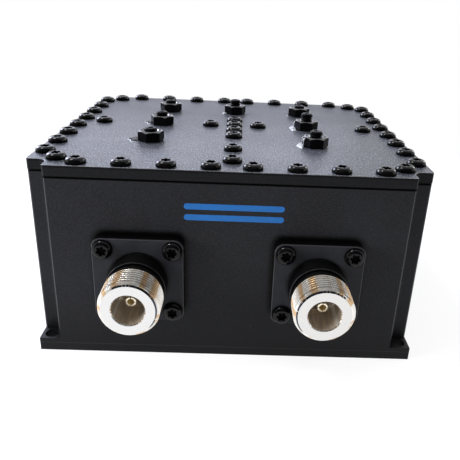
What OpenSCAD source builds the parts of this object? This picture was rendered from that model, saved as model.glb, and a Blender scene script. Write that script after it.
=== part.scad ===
// Four-cavity coaxial bandpass filter: a milled box with a screwed cover,
// four tuned posts inside and two screw-thread coaxial jacks on the front wall.
// Millimetres, +Z up, jacks towards -Y, origin on the underside at the centre of the base holes.

/* [Housing] */
// Width of the box across the two jacks
body_w = 110; // [104:1:130]
// Depth of the box from the jack wall to the back
body_d = 100.2; // [96:0.1:120]
// Height of the box with its cover on
body_h = 57.2; // [50:0.1:70]
// Thickness of the base under the corner notches
base_t = 4; // [3:0.1:5.5]
// Thickness of the cavity floor
floor_t = 6; // [5:0.1:8]
// Thickness of the two side walls
side_wall_t = 8.8; // [7:0.1:9.5]
// Thickness of the front and back walls
end_wall_t = 7.5; // [6.5:0.1:9]
// Thickness of the wall between the left and right cavities
partition_t = 6; // [5:0.1:8]
// Radius of the upright corners inside each cavity
cavity_fillet = 8; // [4:0.5:10]
// Width of each corner notch, along X
notch_w = 5.8; // [5.5:0.1:8]
// Depth of each corner notch, along Y
notch_d = 5.5; // [5.5:0.1:8]
// Radius left by the cutter in the inner corner of a notch
notch_fillet = 2.5; // [1:0.1:2.7]
// Chamfer on the upright outer edges
edge_chamfer = 0.5; // [0.2:0.1:1]
// Diameter of the mounting hole in each corner of the base
base_hole_d = 4; // [3:0.1:4.5]

/* [Seam] */
// Height of the fine groove under the cover
seam_h = 0.25; // [0.1:0.05:0.6]
// Depth of the fine groove under the cover
seam_inset = 0.3; // [0.1:0.05:0.6]

/* [Cavity walls] */
// Distance of the cross walls behind the middle of the box
iris_y = 2; // [0:0.5:5]
// Thickness of the cross walls between front and back cavities
iris_t = 7; // [5:0.1:8]
// Depth of the coupling windows below the cover
window_h = 30; // [20:1:40]
// Wall left beside a screw at the edge of a coupling window
window_margin = 3.2; // [2.5:0.1:4.5]
// Wall left between the centre window and the back wall
window_back_stub = 4.4; // [3:0.1:8]

/* [Cover] */
// Thickness of the cover plate
cover_t = 3.1; // [2:0.1:5]
// How far the cover stands proud of the walls
cover_overhang = 0.1; // [0:0.05:0.3]

/* [Cover screws] */
// Number of screws in each row along an edge, an even number
row_count = 8; // [6:2:8]
// Distance of the front and back rows from the edge
end_row_inset = 3; // [3:0.1:4]
// Distance of the side rows from the edge
side_row_inset = 3; // [2.9:0.1:4]
// Distance of the first screw of the front row from the side
front_row_start = 13.9; // [13.5:0.1:18]
// Spacing of the two middle screws of the front row
front_row_middle = 11.2; // [10:0.1:13]
// Distance of the first screw of the back row from the side
back_row_start = 15.5; // [13.5:0.1:18]
// Spacing of the two middle screws of the back row
back_row_middle = 9.6; // [9:0.1:13]
// Distance of the first screw of a side row from the front
side_row_start = 12.7; // [12.5:0.1:16]
// Distance of the last screw of a side row from the back
side_row_end = 10.9; // [10.8:0.1:16]
// Distance of a front corner screw from the inner corner of its notch, along X
front_corner_dx = 2; // [1.1:0.1:4]
// Distance of a back corner screw from the inner corner of its notch, along X
back_corner_dx = 2.3; // [1.5:0.1:4]
// Distance of a corner screw from the inner corner of its notch, along Y
corner_screw_dy = 1; // [0.8:0.1:4]
// Distance of the inner cross-wall screws from the middle plane
iris_screw_inner_x = 8.2; // [7.5:0.1:12]
// Distance of the outer cross-wall screws from the side
iris_screw_outer_inset = 10.1; // [9.3:0.1:13]
// How far the cross-wall screws stand behind the middle of the cross walls
iris_screw_back = 0.5; // [0:0.1:1]
// Distance of the first partition screw from the front
column_first_inset = 9.1; // [9:0.1:12]
// Spacing of the first two partition screws
column_pitch = 12.3; // [8:0.1:14]
// Number of close-set partition screws beside the cross walls
stack_count = 4; // [2:1:4]
// Spacing of the close-set partition screws
stack_pitch = 7.7; // [6:0.1:8]
// Distance of the last close-set screw behind the cross walls
stack_reach = 8.1; // [5:0.1:9]

/* [Small screws] */
// Thread diameter of the cover and flange screws
screw_d = 3; // [2.5:0.1:3]
// Diameter of a screw head
screw_head_d = 5.5; // [5:0.1:5.7]
// Height of a screw head
screw_head_h = 1.65; // [1.5:0.05:2.2]
// Height of the straight side of a screw head
screw_head_side = 0.3; // [0.2:0.05:0.8]
// Diameter of the flat on top of a screw head
screw_head_flat = 3.1; // [3:0.1:3.6]
// Width of the six-lobe recess across its lobes
recess_d = 2.8; // [2.4:0.1:2.9]
// Depth of the six-lobe recess
recess_depth = 1; // [0.6:0.1:1.2]
// Length of a cover screw under its head
cover_screw_len = 10; // [8:1:14]
// Length of a flange screw under its head
flange_screw_len = 8; // [6:1:9]
// Clearance around a screw in the hole that it passes through
screw_pass_clear = 0.2; // [0.1:0.05:0.4]

/* [Resonators] */
// Distance of the resonator rows from the cross walls
resonator_pitch = 23; // [16:0.1:24]
// Outer diameter of a resonator post
resonator_d = 14; // [12:0.5:18]
// Diameter of the bore in the top of a post
resonator_bore_d = 9; // [8.5:0.1:10]
// Thickness of the web at the foot of a post
resonator_web_t = 8; // [5:0.5:12]
// Gap between the top of a post and the cover
resonator_gap = 7.4; // [5:0.1:9]
// Thread diameter of the screw that holds a post
post_screw_d = 4; // [3:0.5:5]
// Head diameter of the screw that holds a post
post_screw_head_d = 7; // [6:0.1:8]
// Head height of the screw that holds a post
post_screw_head_h = 4; // [3:0.1:5]
// Width of the hexagon socket in that head
post_screw_socket = 3; // [2.5:0.5:4]
// How far that screw reaches into the floor
post_screw_bite = 4.5; // [3:0.1:4.6]

/* [Tuning] */
// How far the front tuning screws stand outside the axes of their posts
front_tuning_offset = 0.7; // [0:0.1:1]
// How far the side coupling screws stand outside the same axes
side_coupling_offset = 0.3; // [0:0.1:1]
// Thread diameter of the tuning and coupling screws
tuning_screw_d = 4; // [3:0.5:5]
// Length of a tuning screw
tuning_screw_len = 20; // [18:1:26]
// Length of a coupling screw
coupling_screw_len = 24; // [18:1:30]
// Diameter of the flat on the upper end of a tuning screw
tuning_end_d = 2.6; // [2:0.1:2.8]
// Height of the rounding at the upper end of a tuning screw
tuning_end_round = 0.8; // [0.3:0.1:1.5]
// Width of the hexagon socket in the end of a tuning screw
tuning_socket = 1.5; // [1.2:0.1:1.6]
// Depth of that socket
tuning_socket_depth = 2; // [1:0.1:3]
// Running clearance around a tuning screw
tuning_clear = 0.05; // [0.02:0.01:0.1]
// Lock nut width across flats
nut_af = 7; // [6.5:0.1:8]
// Lock nut height
nut_h = 3.2; // [2.2:0.1:4]
// Angles at which lock nuts 1 to 4 were left
tuning_nut_turn = [18, 0, 4, 0]; // [-30:1:30]
// Angles at which the left, back and right coupling lock nuts were left
coupling_nut_turn = [-10, 10, -6]; // [-30:1:30]
// How far tuning screw 1 stands out of its nut
stand_out_1 = 0.8; // [0:0.1:3]
// How far tuning screw 2 stands out of its nut
stand_out_2 = 1; // [0:0.1:3]
// How far tuning screw 3 stands out of its nut
stand_out_3 = 0.8; // [0:0.1:3]
// How far tuning screw 4 stands out of its nut
stand_out_4 = 1.7; // [0:0.1:3]
// How far the left coupling screw stands out of its nut
stand_out_12 = 1.2; // [0:0.1:3]
// How far the back coupling screw stands out of its nut
stand_out_23 = 2; // [0:0.1:3]
// How far the right coupling screw stands out of its nut
stand_out_34 = 2.4; // [0:0.1:3]

/* [Jacks] */
// Height of the jack axes above the underside
jack_z = 26.2; // [22:0.1:32]
// Width of the square flange
flange_w = 24.6; // [24.4:0.1:27]
// Thickness of the flange
flange_t = 3.6; // [2.5:0.1:5]
// Corner radius of the flange
flange_corner = 2.4; // [1:0.1:3]
// Spacing of the four flange screws
flange_screw_pitch = 18.6; // [17.8:0.1:19]
// Diameter of the plain boss behind the thread
boss_d = 16; // [15.9:0.1:16.2]
// Length of the plain boss in front of the flange
boss_len = 5; // [4:0.1:7]
// Diameter of the relief groove behind the thread
relief_d = 14.6; // [13.5:0.1:15]
// Width of the relief groove
relief_w = 1.4; // [0.5:0.1:1.5]
// Outside diameter of the coupling thread
thread_d = 15.88; // [15.5:0.01:16]
// Length of the coupling thread up to its front chamfer
thread_len = 8.1; // [6:0.1:10]
// Chamfer at the front of the thread
thread_chamfer = 1.1; // [0.5:0.1:1.3]
// Diameter of the mouth
mouth_d = 8.4; // [8.1:0.05:8.6]
// Depth of the mouth down to its shoulder
mouth_depth = 9.1; // [8:0.1:9.2]
// Chamfer at the rim of the mouth
mouth_chamfer = 0.25; // [0.1:0.05:0.5]
// Diameter of the air line behind the shoulder
line_d = 7; // [6.5:0.1:7.5]
// Length of the air line behind the shoulder
line_len = 2; // [1:0.1:3]
// Diameter of the insulator
insulator_d = 10; // [9:0.1:11]
// Diameter of the centre contact
contact_d = 2.9; // [2.8:0.01:3.3]
// Diameter of the socket in the front of the contact
contact_bore_d = 1.7; // [1.5:0.05:1.8]
// Depth of the socket in the front of the contact
contact_bore_depth = 4.5; // [3:0.1:6]
// Width of the slots in the contact
contact_slot_w = 0.3; // [0.15:0.05:0.5]
// Length of the slots in the contact
contact_slot_len = 3.8; // [2:0.1:5]
// How far the contact lies behind the front of the jack
contact_recess = 4.3; // [4.3:0.1:6]
// Length of the contact inside the cavity
contact_tail = 4; // [3:0.1:6]

/* [Tap wires] */
// Diameter of the wire from a jack to its resonator
tap_d = 1.6; // [1:0.1:1.8]
// How far the wire reaches into the end of the contact
tap_in_contact = 2.8; // [1.5:0.1:3]
// How far the wire reaches into the side of the post
tap_in_post = 1.8; // [1:0.1:2]

/* [Hidden] */
$fn = 48;

// Clearance of a seated fit, such as a screw in its thread or an insulator in its bore
fit = 0.02;
// Overlap of a cut past the face that it opens
over = 1;
// Spare depth below a screw in a blind hole
blind_spare = 1;
// Spare depth in the cup of a contact, beyond the end of its wire
cup_spare = 0.2;
// Chamfer at the lower point of a tuning screw
screw_point_chamfer = 0.4;

rim_z = body_h - cover_t;
half_w = body_w / 2;
half_d = body_d / 2;
inner_x = half_w - side_wall_t;
inner_y = half_d - end_wall_t;
partition_x = partition_t / 2;
iris_front = iris_y - iris_t / 2;
iris_back = iris_y + iris_t / 2;

// The resonators stand in the middle of their cavities' width, and the jacks line up with them
resonator_x = (partition_x + inner_x) / 2;
resonator_front_y = iris_y - resonator_pitch;
resonator_back_y = iris_y + resonator_pitch;
resonator_h = rim_z - resonator_gap - floor_t;
resonator_at = [
    [-resonator_x, resonator_front_y],
    [-resonator_x, resonator_back_y],
    [resonator_x, resonator_back_y],
    [resonator_x, resonator_front_y]];
tuning_at = [for (p = resonator_at)
    p[1] == resonator_front_y ? [p[0] + sign(p[0]) * front_tuning_offset, p[1]] : p];
stand_out = [stand_out_1, stand_out_2, stand_out_3, stand_out_4];

coupling_names = ["12", "23", "34"];
side_coupling_x = resonator_x + side_coupling_offset;
coupling_at = [[-side_coupling_x, iris_y], [0, resonator_back_y], [side_coupling_x, iris_y]];
coupling_stand_out = [stand_out_12, stand_out_23, stand_out_34];

iris_screw_outer_x = half_w - iris_screw_outer_inset;
window_inner_x = iris_screw_inner_x + window_margin;
window_outer_x = iris_screw_outer_x - window_margin;
stack_last_y = iris_y + stack_reach;
centre_window_front = stack_last_y + window_margin;
centre_window_back = inner_y - window_back_stub;

nut_top = body_h + nut_h;
nut_corner_r = nut_af / 2 / cos(30);
nut_chamfer = (nut_corner_r - nut_af / 2) * tan(30);

thread_start = flange_t + boss_len + relief_w;
thread_end = thread_start + thread_len;
jack_len = thread_end + thread_chamfer;
shoulder = jack_len - mouth_depth;
insulator_front = shoulder - line_len;
post_front_y = resonator_front_y - resonator_d / 2;
cup_depth = tap_in_contact + cup_spare;
tap_start_y = -inner_y + contact_tail - tap_in_contact;
tap_end_y = post_front_y + tap_in_post;

function spread(from, to, count) = [for (i = [0 : count - 1]) from + (to - from) * i / (count - 1)];

// Two mirrored halves of a row, each evenly spread from its middle screw to its last
function mirrored_row(middle, last, count) = [for (side = [-1, 1], x = spread(middle / 2, last, count / 2))
    side * x];

front_row_at = [for (x = mirrored_row(front_row_middle, half_w - front_row_start, row_count))
    [x, -half_d + end_row_inset]];
back_row_at = [for (x = mirrored_row(back_row_middle, half_w - back_row_start, row_count))
    [x, half_d - end_row_inset]];
side_row_y = spread(-half_d + side_row_start, half_d - side_row_end, row_count);
left_row_at = [for (y = side_row_y) [-half_w + side_row_inset, y]];
right_row_at = [for (y = side_row_y) [half_w - side_row_inset, y]];
corner_at = [for (sx = [-1, 1], sy = [-1, 1])
    let (dx = sy < 0 ? front_corner_dx : back_corner_dx)
        [sx * (half_w - notch_w - dx), sy * (half_d - notch_d - corner_screw_dy)]];
iris_at = [for (x = [-iris_screw_outer_x, -iris_screw_inner_x, iris_screw_inner_x, iris_screw_outer_x])
    [x, iris_y + iris_screw_back]];
partition_at = concat(
    [for (i = [0, 1]) [0, -half_d + column_first_inset + i * column_pitch]],
    [for (i = [0 : stack_count - 1]) [0, stack_last_y - i * stack_pitch]]);
cover_screws_at = concat(front_row_at, back_row_at, left_row_at, right_row_at,
    corner_at, iris_at, partition_at);
flange_screws_at = [for (sx = [-1, 1], sz = [-1, 1])
    [sx * flange_screw_pitch / 2, sz * flange_screw_pitch / 2]];

black = "#2a2b2e";
steel_black = "#1c1c1f";
silver_plate = "#b9bcc0";
nickel = "#c9c4bb";
gold = "#c9a24a";
ptfe = "#ece9e2";
brass = "#b5924f";

module at(points) {
    for (p = points) translate([p[0], p[1], 0]) children();
}

// A corner notch seen from above, with the radius of its cutter
module notch_outline(grow) {
    x = half_w - notch_w + grow;
    y = half_d - notch_d + grow;
    translate([x + notch_fillet, y]) square([notch_w, notch_d + over]);
    translate([x, y + notch_fillet]) square([notch_w + over, notch_d]);
    translate([x + notch_fillet, y + notch_fillet]) circle(notch_fillet);
    for (edge = [[x, half_d + grow], [half_w + grow, y]])
        translate(edge) rotate(45) square(edge_chamfer * sqrt(2), center = true);
}

// The box seen from above, larger all round by grow
module box_outline(grow = 0) {
    difference() {
        square([body_w + 2 * grow, body_d + 2 * grow], center = true);
        for (mx = [0, 1], my = [0, 1]) mirror([mx, 0]) mirror([0, my]) notch_outline(grow);
    }
}

module rounded_rect(x0, x1, y0, y1, r) {
    translate([x0 + r, y0]) square([x1 - x0 - 2 * r, y1 - y0]);
    translate([x0, y0 + r]) square([x1 - x0, y1 - y0 - 2 * r]);
    for (x = [x0 + r, x1 - r], y = [y0 + r, y1 - r]) translate([x, y]) circle(r);
}

module cavities() {
    for (m = [0, 1]) mirror([m, 0, 0]) translate([0, 0, floor_t]) {
        linear_extrude(body_h) rounded_rect(partition_x, inner_x, -inner_y, iris_front, cavity_fillet);
        linear_extrude(body_h) rounded_rect(partition_x, inner_x, iris_back, inner_y, cavity_fillet);
    }
}

module coupling_windows() {
    side_w = window_outer_x - window_inner_x;
    side_d = iris_t + 2 * cavity_fillet;
    centre_w = partition_t + 2 * cavity_fillet;
    for (m = [0, 1]) mirror([m, 0, 0])
        translate([window_inner_x, iris_y - side_d / 2, rim_z - window_h])
            cube([side_w, side_d, window_h + over]);
    translate([-centre_w / 2, centre_window_front, rim_z - window_h])
        cube([centre_w, centre_window_back - centre_window_front, window_h + over]);
}

// Places a child on a jack's axis, with +Z pointing out of the front wall
module on_jack(side) {
    translate([side * resonator_x, -half_d, jack_z]) rotate([90, 0, 0]) children();
}

module housing() {
    bite = cover_screw_len - cover_t + blind_spare;
    flange_bite = flange_screw_len - flange_t + blind_spare;
    color(black) difference() {
        union() {
            linear_extrude(base_t) square([body_w, body_d], center = true);
            linear_extrude(rim_z - seam_h) box_outline();
            linear_extrude(rim_z) box_outline(-seam_inset);
        }
        cavities();
        coupling_windows();
        for (sx = [-1, 1], sy = [-1, 1])
            translate([sx * (half_w - notch_w / 2), sy * (half_d - notch_d / 2), -over])
                cylinder(d = base_hole_d, h = base_t + 2 * over);
        at(cover_screws_at) translate([0, 0, rim_z - bite])
            cylinder(d = screw_d + 2 * fit, h = bite + over);
        at(resonator_at) translate([0, 0, floor_t - post_screw_bite - fit])
            cylinder(d = post_screw_d + 2 * fit, h = post_screw_bite + over);
        for (side = [-1, 1]) on_jack(side) {
            translate([0, 0, -end_wall_t - over])
                cylinder(d = insulator_d + 2 * fit, h = end_wall_t + 2 * over);
            at(flange_screws_at) translate([0, 0, -flange_bite])
                cylinder(d = screw_d + 2 * fit, h = flange_bite + over);
        }
    }
}

module cover() {
    color(black) difference() {
        translate([0, 0, rim_z]) linear_extrude(cover_t) box_outline(cover_overhang);
        at(cover_screws_at) translate([0, 0, rim_z - over])
            cylinder(d = screw_d + 2 * screw_pass_clear, h = cover_t + 2 * over);
        at(concat(tuning_at, coupling_at)) translate([0, 0, rim_z - over])
            cylinder(d = tuning_screw_d + 2 * tuning_clear, h = cover_t + 2 * over);
    }
}

// A six-lobe driver recess seen from above
module six_lobe(width) {
    lobe_r = width * 0.15;
    circle(width * 0.36);
    for (a = [0 : 60 : 300]) rotate(a) translate([width / 2 - lobe_r, 0]) circle(lobe_r, $fn = 24);
}

// A button-head screw, seated on the plane z = 0 with its thread downwards
module button_screw(length) {
    round_w = (screw_head_d - screw_head_flat) / 2;
    round_h = screw_head_h - screw_head_side;
    steps = 5;
    head = concat([[0, 0], [screw_head_d / 2, 0]],
        [for (i = [0 : steps]) let (a = 90 * i / steps)
            [screw_head_flat / 2 + round_w * cos(a), screw_head_side + round_h * sin(a)]],
        [[0, screw_head_h]]);
    difference() {
        union() {
            rotate_extrude() polygon(head);
            translate([0, 0, -length]) cylinder(d = screw_d, h = length + screw_head_side / 2);
        }
        translate([0, 0, screw_head_h - recess_depth]) linear_extrude(recess_depth + over)
            six_lobe(recess_d);
    }
}

module cover_screws(points) {
    color(steel_black) at(points) translate([0, 0, body_h]) button_screw(cover_screw_len);
}

// A hollow post, tapped from its side where a wire joins it
module resonator(i) {
    p = resonator_at[i];
    color(silver_plate) difference() {
        translate([p[0], p[1], floor_t]) difference() {
            cylinder(d = resonator_d, h = resonator_h);
            translate([0, 0, resonator_web_t])
                cylinder(d = resonator_bore_d, h = resonator_h);
            translate([0, 0, -over])
                cylinder(d = post_screw_d + 2 * screw_pass_clear, h = resonator_web_t + 2 * over);
        }
        if (p[1] == resonator_front_y) tap_channel(p[0], fit);
    }
}

// The round space between a contact's cup and the bottom of the hole in its post
module tap_channel(x, gap) {
    translate([x, tap_end_y, jack_z]) rotate([90, 0, 0])
        cylinder(d = tap_d + 2 * gap, h = tap_end_y - tap_start_y, $fn = 32);
}

module resonator_screw(i) {
    p = resonator_at[i];
    color(steel_black) translate([p[0], p[1], floor_t + resonator_web_t]) difference() {
        union() {
            cylinder(d = post_screw_head_d, h = post_screw_head_h);
            translate([0, 0, -resonator_web_t - post_screw_bite])
                cylinder(d = post_screw_d, h = resonator_web_t + post_screw_bite + over);
        }
        translate([0, 0, post_screw_head_h / 2])
            cylinder(r = post_screw_socket / 2 / cos(30), h = post_screw_head_h, $fn = 6);
    }
}

// A headless screw with a hexagon socket, its rounded upper end standing out of the nut
module set_screw(p, length, out) {
    r = tuning_screw_d / 2;
    end_r = tuning_end_d / 2;
    steps = 4;
    profile = concat([[0, 0], [r - screw_point_chamfer, 0], [r, screw_point_chamfer]],
        [for (i = [0 : steps]) let (a = 90 * i / steps)
            [end_r + (r - end_r) * cos(a), length - tuning_end_round * (1 - sin(a))]],
        [[0, length]]);
    color(steel_black) translate([p[0], p[1], nut_top + out - length]) difference() {
        rotate_extrude() polygon(profile);
        translate([0, 0, length - tuning_socket_depth])
            cylinder(r = tuning_socket / 2 / cos(30), h = tuning_socket_depth + over, $fn = 6);
    }
}

module lock_nut(p, turn) {
    color(steel_black) translate([p[0], p[1], body_h]) rotate(turn) difference() {
        intersection() {
            cylinder(r = nut_corner_r, h = nut_h, $fn = 6);
            rotate_extrude() polygon([[0, 0], [nut_af / 2, 0], [nut_corner_r, nut_chamfer],
                [nut_corner_r, nut_h - nut_chamfer], [nut_af / 2, nut_h], [0, nut_h]]);
        }
        translate([0, 0, -over]) cylinder(d = tuning_screw_d + 2 * tuning_clear, h = nut_h + 2 * over);
    }
}

// Flange, boss, relief groove and thread in one turned piece
module jack_shell(side) {
    edge = flange_w / 2;
    boss_r = boss_d / 2;
    relief_r = relief_d / 2;
    thread_r = thread_d / 2;
    mouth_r = mouth_d / 2;
    line_r = line_d / 2;
    seat_r = insulator_d / 2 + fit;
    color(nickel) on_jack(side) difference() {
        union() {
            linear_extrude(flange_t) rounded_rect(-edge, edge, -edge, edge, flange_corner);
            rotate_extrude() polygon([[0, 0], [boss_r, 0], [boss_r, flange_t + boss_len],
                [relief_r, flange_t + boss_len], [relief_r, thread_start],
                [thread_r, thread_start], [thread_r, thread_end],
                [thread_r - thread_chamfer, jack_len], [0, jack_len]]);
        }
        rotate_extrude() polygon([[0, -over], [seat_r, -over], [seat_r, insulator_front],
            [line_r, insulator_front], [line_r, shoulder], [mouth_r, shoulder],
            [mouth_r, jack_len - mouth_chamfer], [mouth_r + mouth_chamfer, jack_len],
            [mouth_r + mouth_chamfer, jack_len + over], [0, jack_len + over]]);
        at(flange_screws_at) translate([0, 0, -over])
            cylinder(d = screw_d + 2 * screw_pass_clear, h = flange_t + 2 * over);
    }
}

module insulator(side) {
    color(ptfe) on_jack(side) translate([0, 0, -end_wall_t]) difference() {
        cylinder(d = insulator_d, h = end_wall_t + insulator_front);
        translate([0, 0, -over])
            cylinder(d = contact_d + 2 * fit, h = end_wall_t + insulator_front + 2 * over);
    }
}

// A slotted socket in front, and a cup for the wire at the back
module contact(side) {
    tip = jack_len - contact_recess;
    tail = -end_wall_t - contact_tail;
    color(gold) on_jack(side) difference() {
        translate([0, 0, tail]) cylinder(d = contact_d, h = tip - tail);
        translate([0, 0, tip - contact_bore_depth])
            cylinder(d = contact_bore_d, h = contact_bore_depth + over);
        for (a = [0, 90]) rotate(a)
            translate([-contact_d, -contact_slot_w / 2, tip - contact_slot_len])
                cube([2 * contact_d, contact_slot_w, contact_slot_len + over]);
        translate([0, 0, tail - over]) cylinder(d = tap_d + 2 * fit, h = cup_depth + over, $fn = 32);
    }
}

module tap_wire(side) {
    color(brass) tap_channel(side * resonator_x, 0);
}

module flange_screws(side) {
    color(steel_black) on_jack(side) at(flange_screws_at)
        translate([0, 0, flange_t]) button_screw(flange_screw_len);
}

housing();
cover();
cover_screws(front_row_at);  // cover_screws_front
cover_screws(back_row_at);  // cover_screws_back
cover_screws(left_row_at);  // cover_screws_left
cover_screws(right_row_at);  // cover_screws_right
cover_screws(corner_at);  // cover_screws_corner
cover_screws(iris_at);  // cover_screws_iris
cover_screws(partition_at);  // cover_screws_partition
for (i = [0 : 3]) {
    resonator(i);
    resonator_screw(i);
    set_screw(tuning_at[i], tuning_screw_len, stand_out[i]);
    lock_nut(tuning_at[i], tuning_nut_turn[i]);
}
for (i = [0 : 2]) {
    set_screw(coupling_at[i], coupling_screw_len, coupling_stand_out[i]);
    lock_nut(coupling_at[i], coupling_nut_turn[i]);
}
jack_shell(-1);  // input_jack_shell
insulator(-1);  // input_insulator
contact(-1);  // input_contact
tap_wire(-1);  // input_tap_wire
flange_screws(-1);  // input_flange_screws
jack_shell(1);  // output_jack_shell
insulator(1);  // output_insulator
contact(1);  // output_contact
tap_wire(1);  // output_tap_wire
flange_screws(1);  // output_flange_screws
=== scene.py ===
"""Dresses the four-cavity bandpass filter: its visible pieces, their finishes and a plain studio.

Surfaces are worked out in millimetres and put into their meshes in metres.
"""
import math
import bmesh
import bpy
import numpy as np
from bpy.props import FloatProperty, FloatVectorProperty, PointerProperty
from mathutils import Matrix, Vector


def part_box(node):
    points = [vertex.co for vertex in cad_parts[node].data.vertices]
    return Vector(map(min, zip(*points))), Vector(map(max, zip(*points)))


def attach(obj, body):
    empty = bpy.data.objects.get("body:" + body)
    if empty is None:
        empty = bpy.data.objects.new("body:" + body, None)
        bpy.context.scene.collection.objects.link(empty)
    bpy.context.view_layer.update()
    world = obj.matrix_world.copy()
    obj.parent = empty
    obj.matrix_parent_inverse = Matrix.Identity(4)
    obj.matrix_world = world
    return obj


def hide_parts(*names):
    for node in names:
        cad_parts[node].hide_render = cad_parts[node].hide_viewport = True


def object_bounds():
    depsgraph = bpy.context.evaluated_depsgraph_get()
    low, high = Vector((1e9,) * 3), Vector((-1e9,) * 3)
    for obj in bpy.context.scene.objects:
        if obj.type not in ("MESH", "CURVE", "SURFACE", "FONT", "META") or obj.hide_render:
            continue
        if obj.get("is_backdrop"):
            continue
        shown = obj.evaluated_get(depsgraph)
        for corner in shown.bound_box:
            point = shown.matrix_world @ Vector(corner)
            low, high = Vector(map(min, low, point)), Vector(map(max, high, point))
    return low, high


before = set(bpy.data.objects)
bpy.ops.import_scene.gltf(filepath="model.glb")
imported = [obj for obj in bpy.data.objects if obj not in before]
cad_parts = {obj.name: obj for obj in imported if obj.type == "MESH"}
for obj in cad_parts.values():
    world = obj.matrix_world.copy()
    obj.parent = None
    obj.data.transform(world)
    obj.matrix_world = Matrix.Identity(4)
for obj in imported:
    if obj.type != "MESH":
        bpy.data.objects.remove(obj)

bl_info = {
    "name": "Cavity Filter Dressing",
    "version": (1, 0, 0),
    "blender": (4, 5, 0),
    "location": "3D Viewport > Sidebar > Filter",
    "description": "Builds the pieces, finishes and studio of a four-cavity bandpass filter",
    "category": "Object",
}

MM = 0.001
TURN = 2.0 * math.pi
BOX_BODY = "box"
JACKS = ("input", "output")
COVER_ROWS = ("front", "back", "left", "right", "corner", "iris", "partition")
# Lock nut, screw and the body that carries the screw
TUNERS = (
    ("tuning_nut_1", "tuning_screw_1", "tuner_1"),
    ("tuning_nut_2", "tuning_screw_2", "tuner_2"),
    ("tuning_nut_3", "tuning_screw_3", "tuner_3"),
    ("tuning_nut_4", "tuning_screw_4", "tuner_4"),
    ("coupling_nut_12", "coupling_screw_12", "coupler_12"),
    ("coupling_nut_23", "coupling_screw_23", "coupler_23"),
    ("coupling_nut_34", "coupling_screw_34", "coupler_34"),
)
# Local x, y and z of a jack, with z outwards, as rows of the frame's axes
FACING_FRONT = np.array([[1.0, 0.0, 0.0], [0.0, 0.0, -1.0], [0.0, 1.0, 0.0]])
UPRIGHT = np.eye(3)
# The turn from one screw to the next, so that no two recesses line up
SCREW_SPIN = math.radians(137.5)
# Stretches of a noise: as it is, or drawn out along the jacks' axis
EVEN = (1.0, 1.0, 1.0)
ALONG = (1.0, 0.15, 1.0)
WHITE = (1.0, 1.0, 1.0, 1.0)


def length(label, about, millimetres):
    """A size in metres that a user may change, from its value in millimetres."""
    return FloatProperty(
        name=label, description=about, default=millimetres * MM, min=0.0, unit="LENGTH", precision=5
    )


def colour(label, about, red, green, blue):
    """A colour that a user may change, as linear red, green and blue."""
    return FloatVectorProperty(
        name=label, description=about, default=(red, green, blue), min=0.0, max=1.0, subtype="COLOR"
    )


def power(label, about, watts):
    """A lamp's power that a user may change."""
    return FloatProperty(name=label, description=about, default=watts, min=0.0, unit="POWER")


class ScrewSizes(bpy.types.PropertyGroup):
    """Sizes of the cover and flange screws."""

    head_width: length("Head width", "Diameter of a screw head", 5.5)
    head_height: length("Head height", "Height of a screw head", 1.65)
    side_height: length("Side height", "Height of the straight side of a head", 0.3)
    flat_width: length("Flat width", "Diameter of the flat on a head", 3.1)
    recess_width: length("Recess width", "Six-lobe recess across its lobes", 2.8)
    recess_depth: length("Recess depth", "Depth of the six-lobe recess", 1.0)
    shank_width: length("Shank width", "Diameter of the thread", 3.0)
    edge_round: length("Edge round", "Rounding at the foot of a head", 0.12)


class TunerSizes(bpy.types.PropertyGroup):
    """Sizes of the tuning screws and their lock nuts."""

    nut_across: length("Nut across flats", "Width of a lock nut across its flats", 7.0)
    nut_hole: length("Nut hole", "Diameter of the hole in a lock nut", 4.1)
    nut_sink: length("Nut countersink", "Width of the countersink round the hole", 0.45)
    screw_width: length("Screw width", "Outer diameter of a tuning screw", 4.0)
    thread_pitch: length("Thread pitch", "Pitch of a tuning screw", 0.7)
    thread_depth: length("Thread depth", "Depth of its thread", 0.34)
    end_flat: length("End flat", "Diameter of the flat on its upper end", 2.6)
    end_round: length("End rounding", "Height of the rounding at its upper end", 0.8)
    socket_across: length("Socket across flats", "Width of its hexagon socket", 1.5)
    socket_depth: length("Socket depth", "Depth of its hexagon socket", 2.0)
    foot_chamfer: length("Foot chamfer", "Chamfer at its lower end", 0.4)


class JackSizes(bpy.types.PropertyGroup):
    """Sizes of the jack shells, with heights measured outwards from the wall."""

    flange_width: length("Flange width", "Width of the square flange", 24.6)
    flange_height: length("Flange thickness", "Thickness of the flange", 3.6)
    flange_corner: length("Flange corner", "Corner radius of the flange", 2.4)
    flange_break: length("Flange edge break", "Chamfer round the flange's front", 0.16)
    boss_width: length("Boss width", "Diameter of the plain boss", 16.0)
    boss_height: length("Boss height", "Where the boss ends", 8.6)
    groove_width: length("Groove width", "Diameter of the relief groove", 14.6)
    groove_height: length("Groove height", "Where the relief groove ends", 10.0)
    thread_width: length("Thread width", "Outside diameter of the thread", 15.88)
    thread_height: length("Thread height", "Where the front chamfer starts", 18.1)
    thread_pitch: length("Thread pitch", "Pitch of the thread", 25.4 / 24.0)
    thread_depth: length("Thread depth", "Depth of the thread", 0.6)
    black_height: length("Black height", "Where the black coat gives way to nickel", 11.5)
    front_height: length("Front height", "Where the jack ends", 19.2)
    front_chamfer: length("Front chamfer", "Chamfer in front of the thread", 1.1)
    mouth_width: length("Mouth width", "Diameter of the mouth", 8.4)
    mouth_break: length("Mouth edge break", "Chamfer round the mouth", 0.25)
    mouth_floor: length("Mouth floor", "Where the mouth's shoulder lies", 10.1)
    line_width: length("Line width", "Diameter of the air line behind the mouth", 7.0)
    line_floor: length("Line floor", "Where the insulator starts", 8.1)
    seat_width: length("Seat width", "Diameter of the insulator's seat", 10.04)


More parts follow.
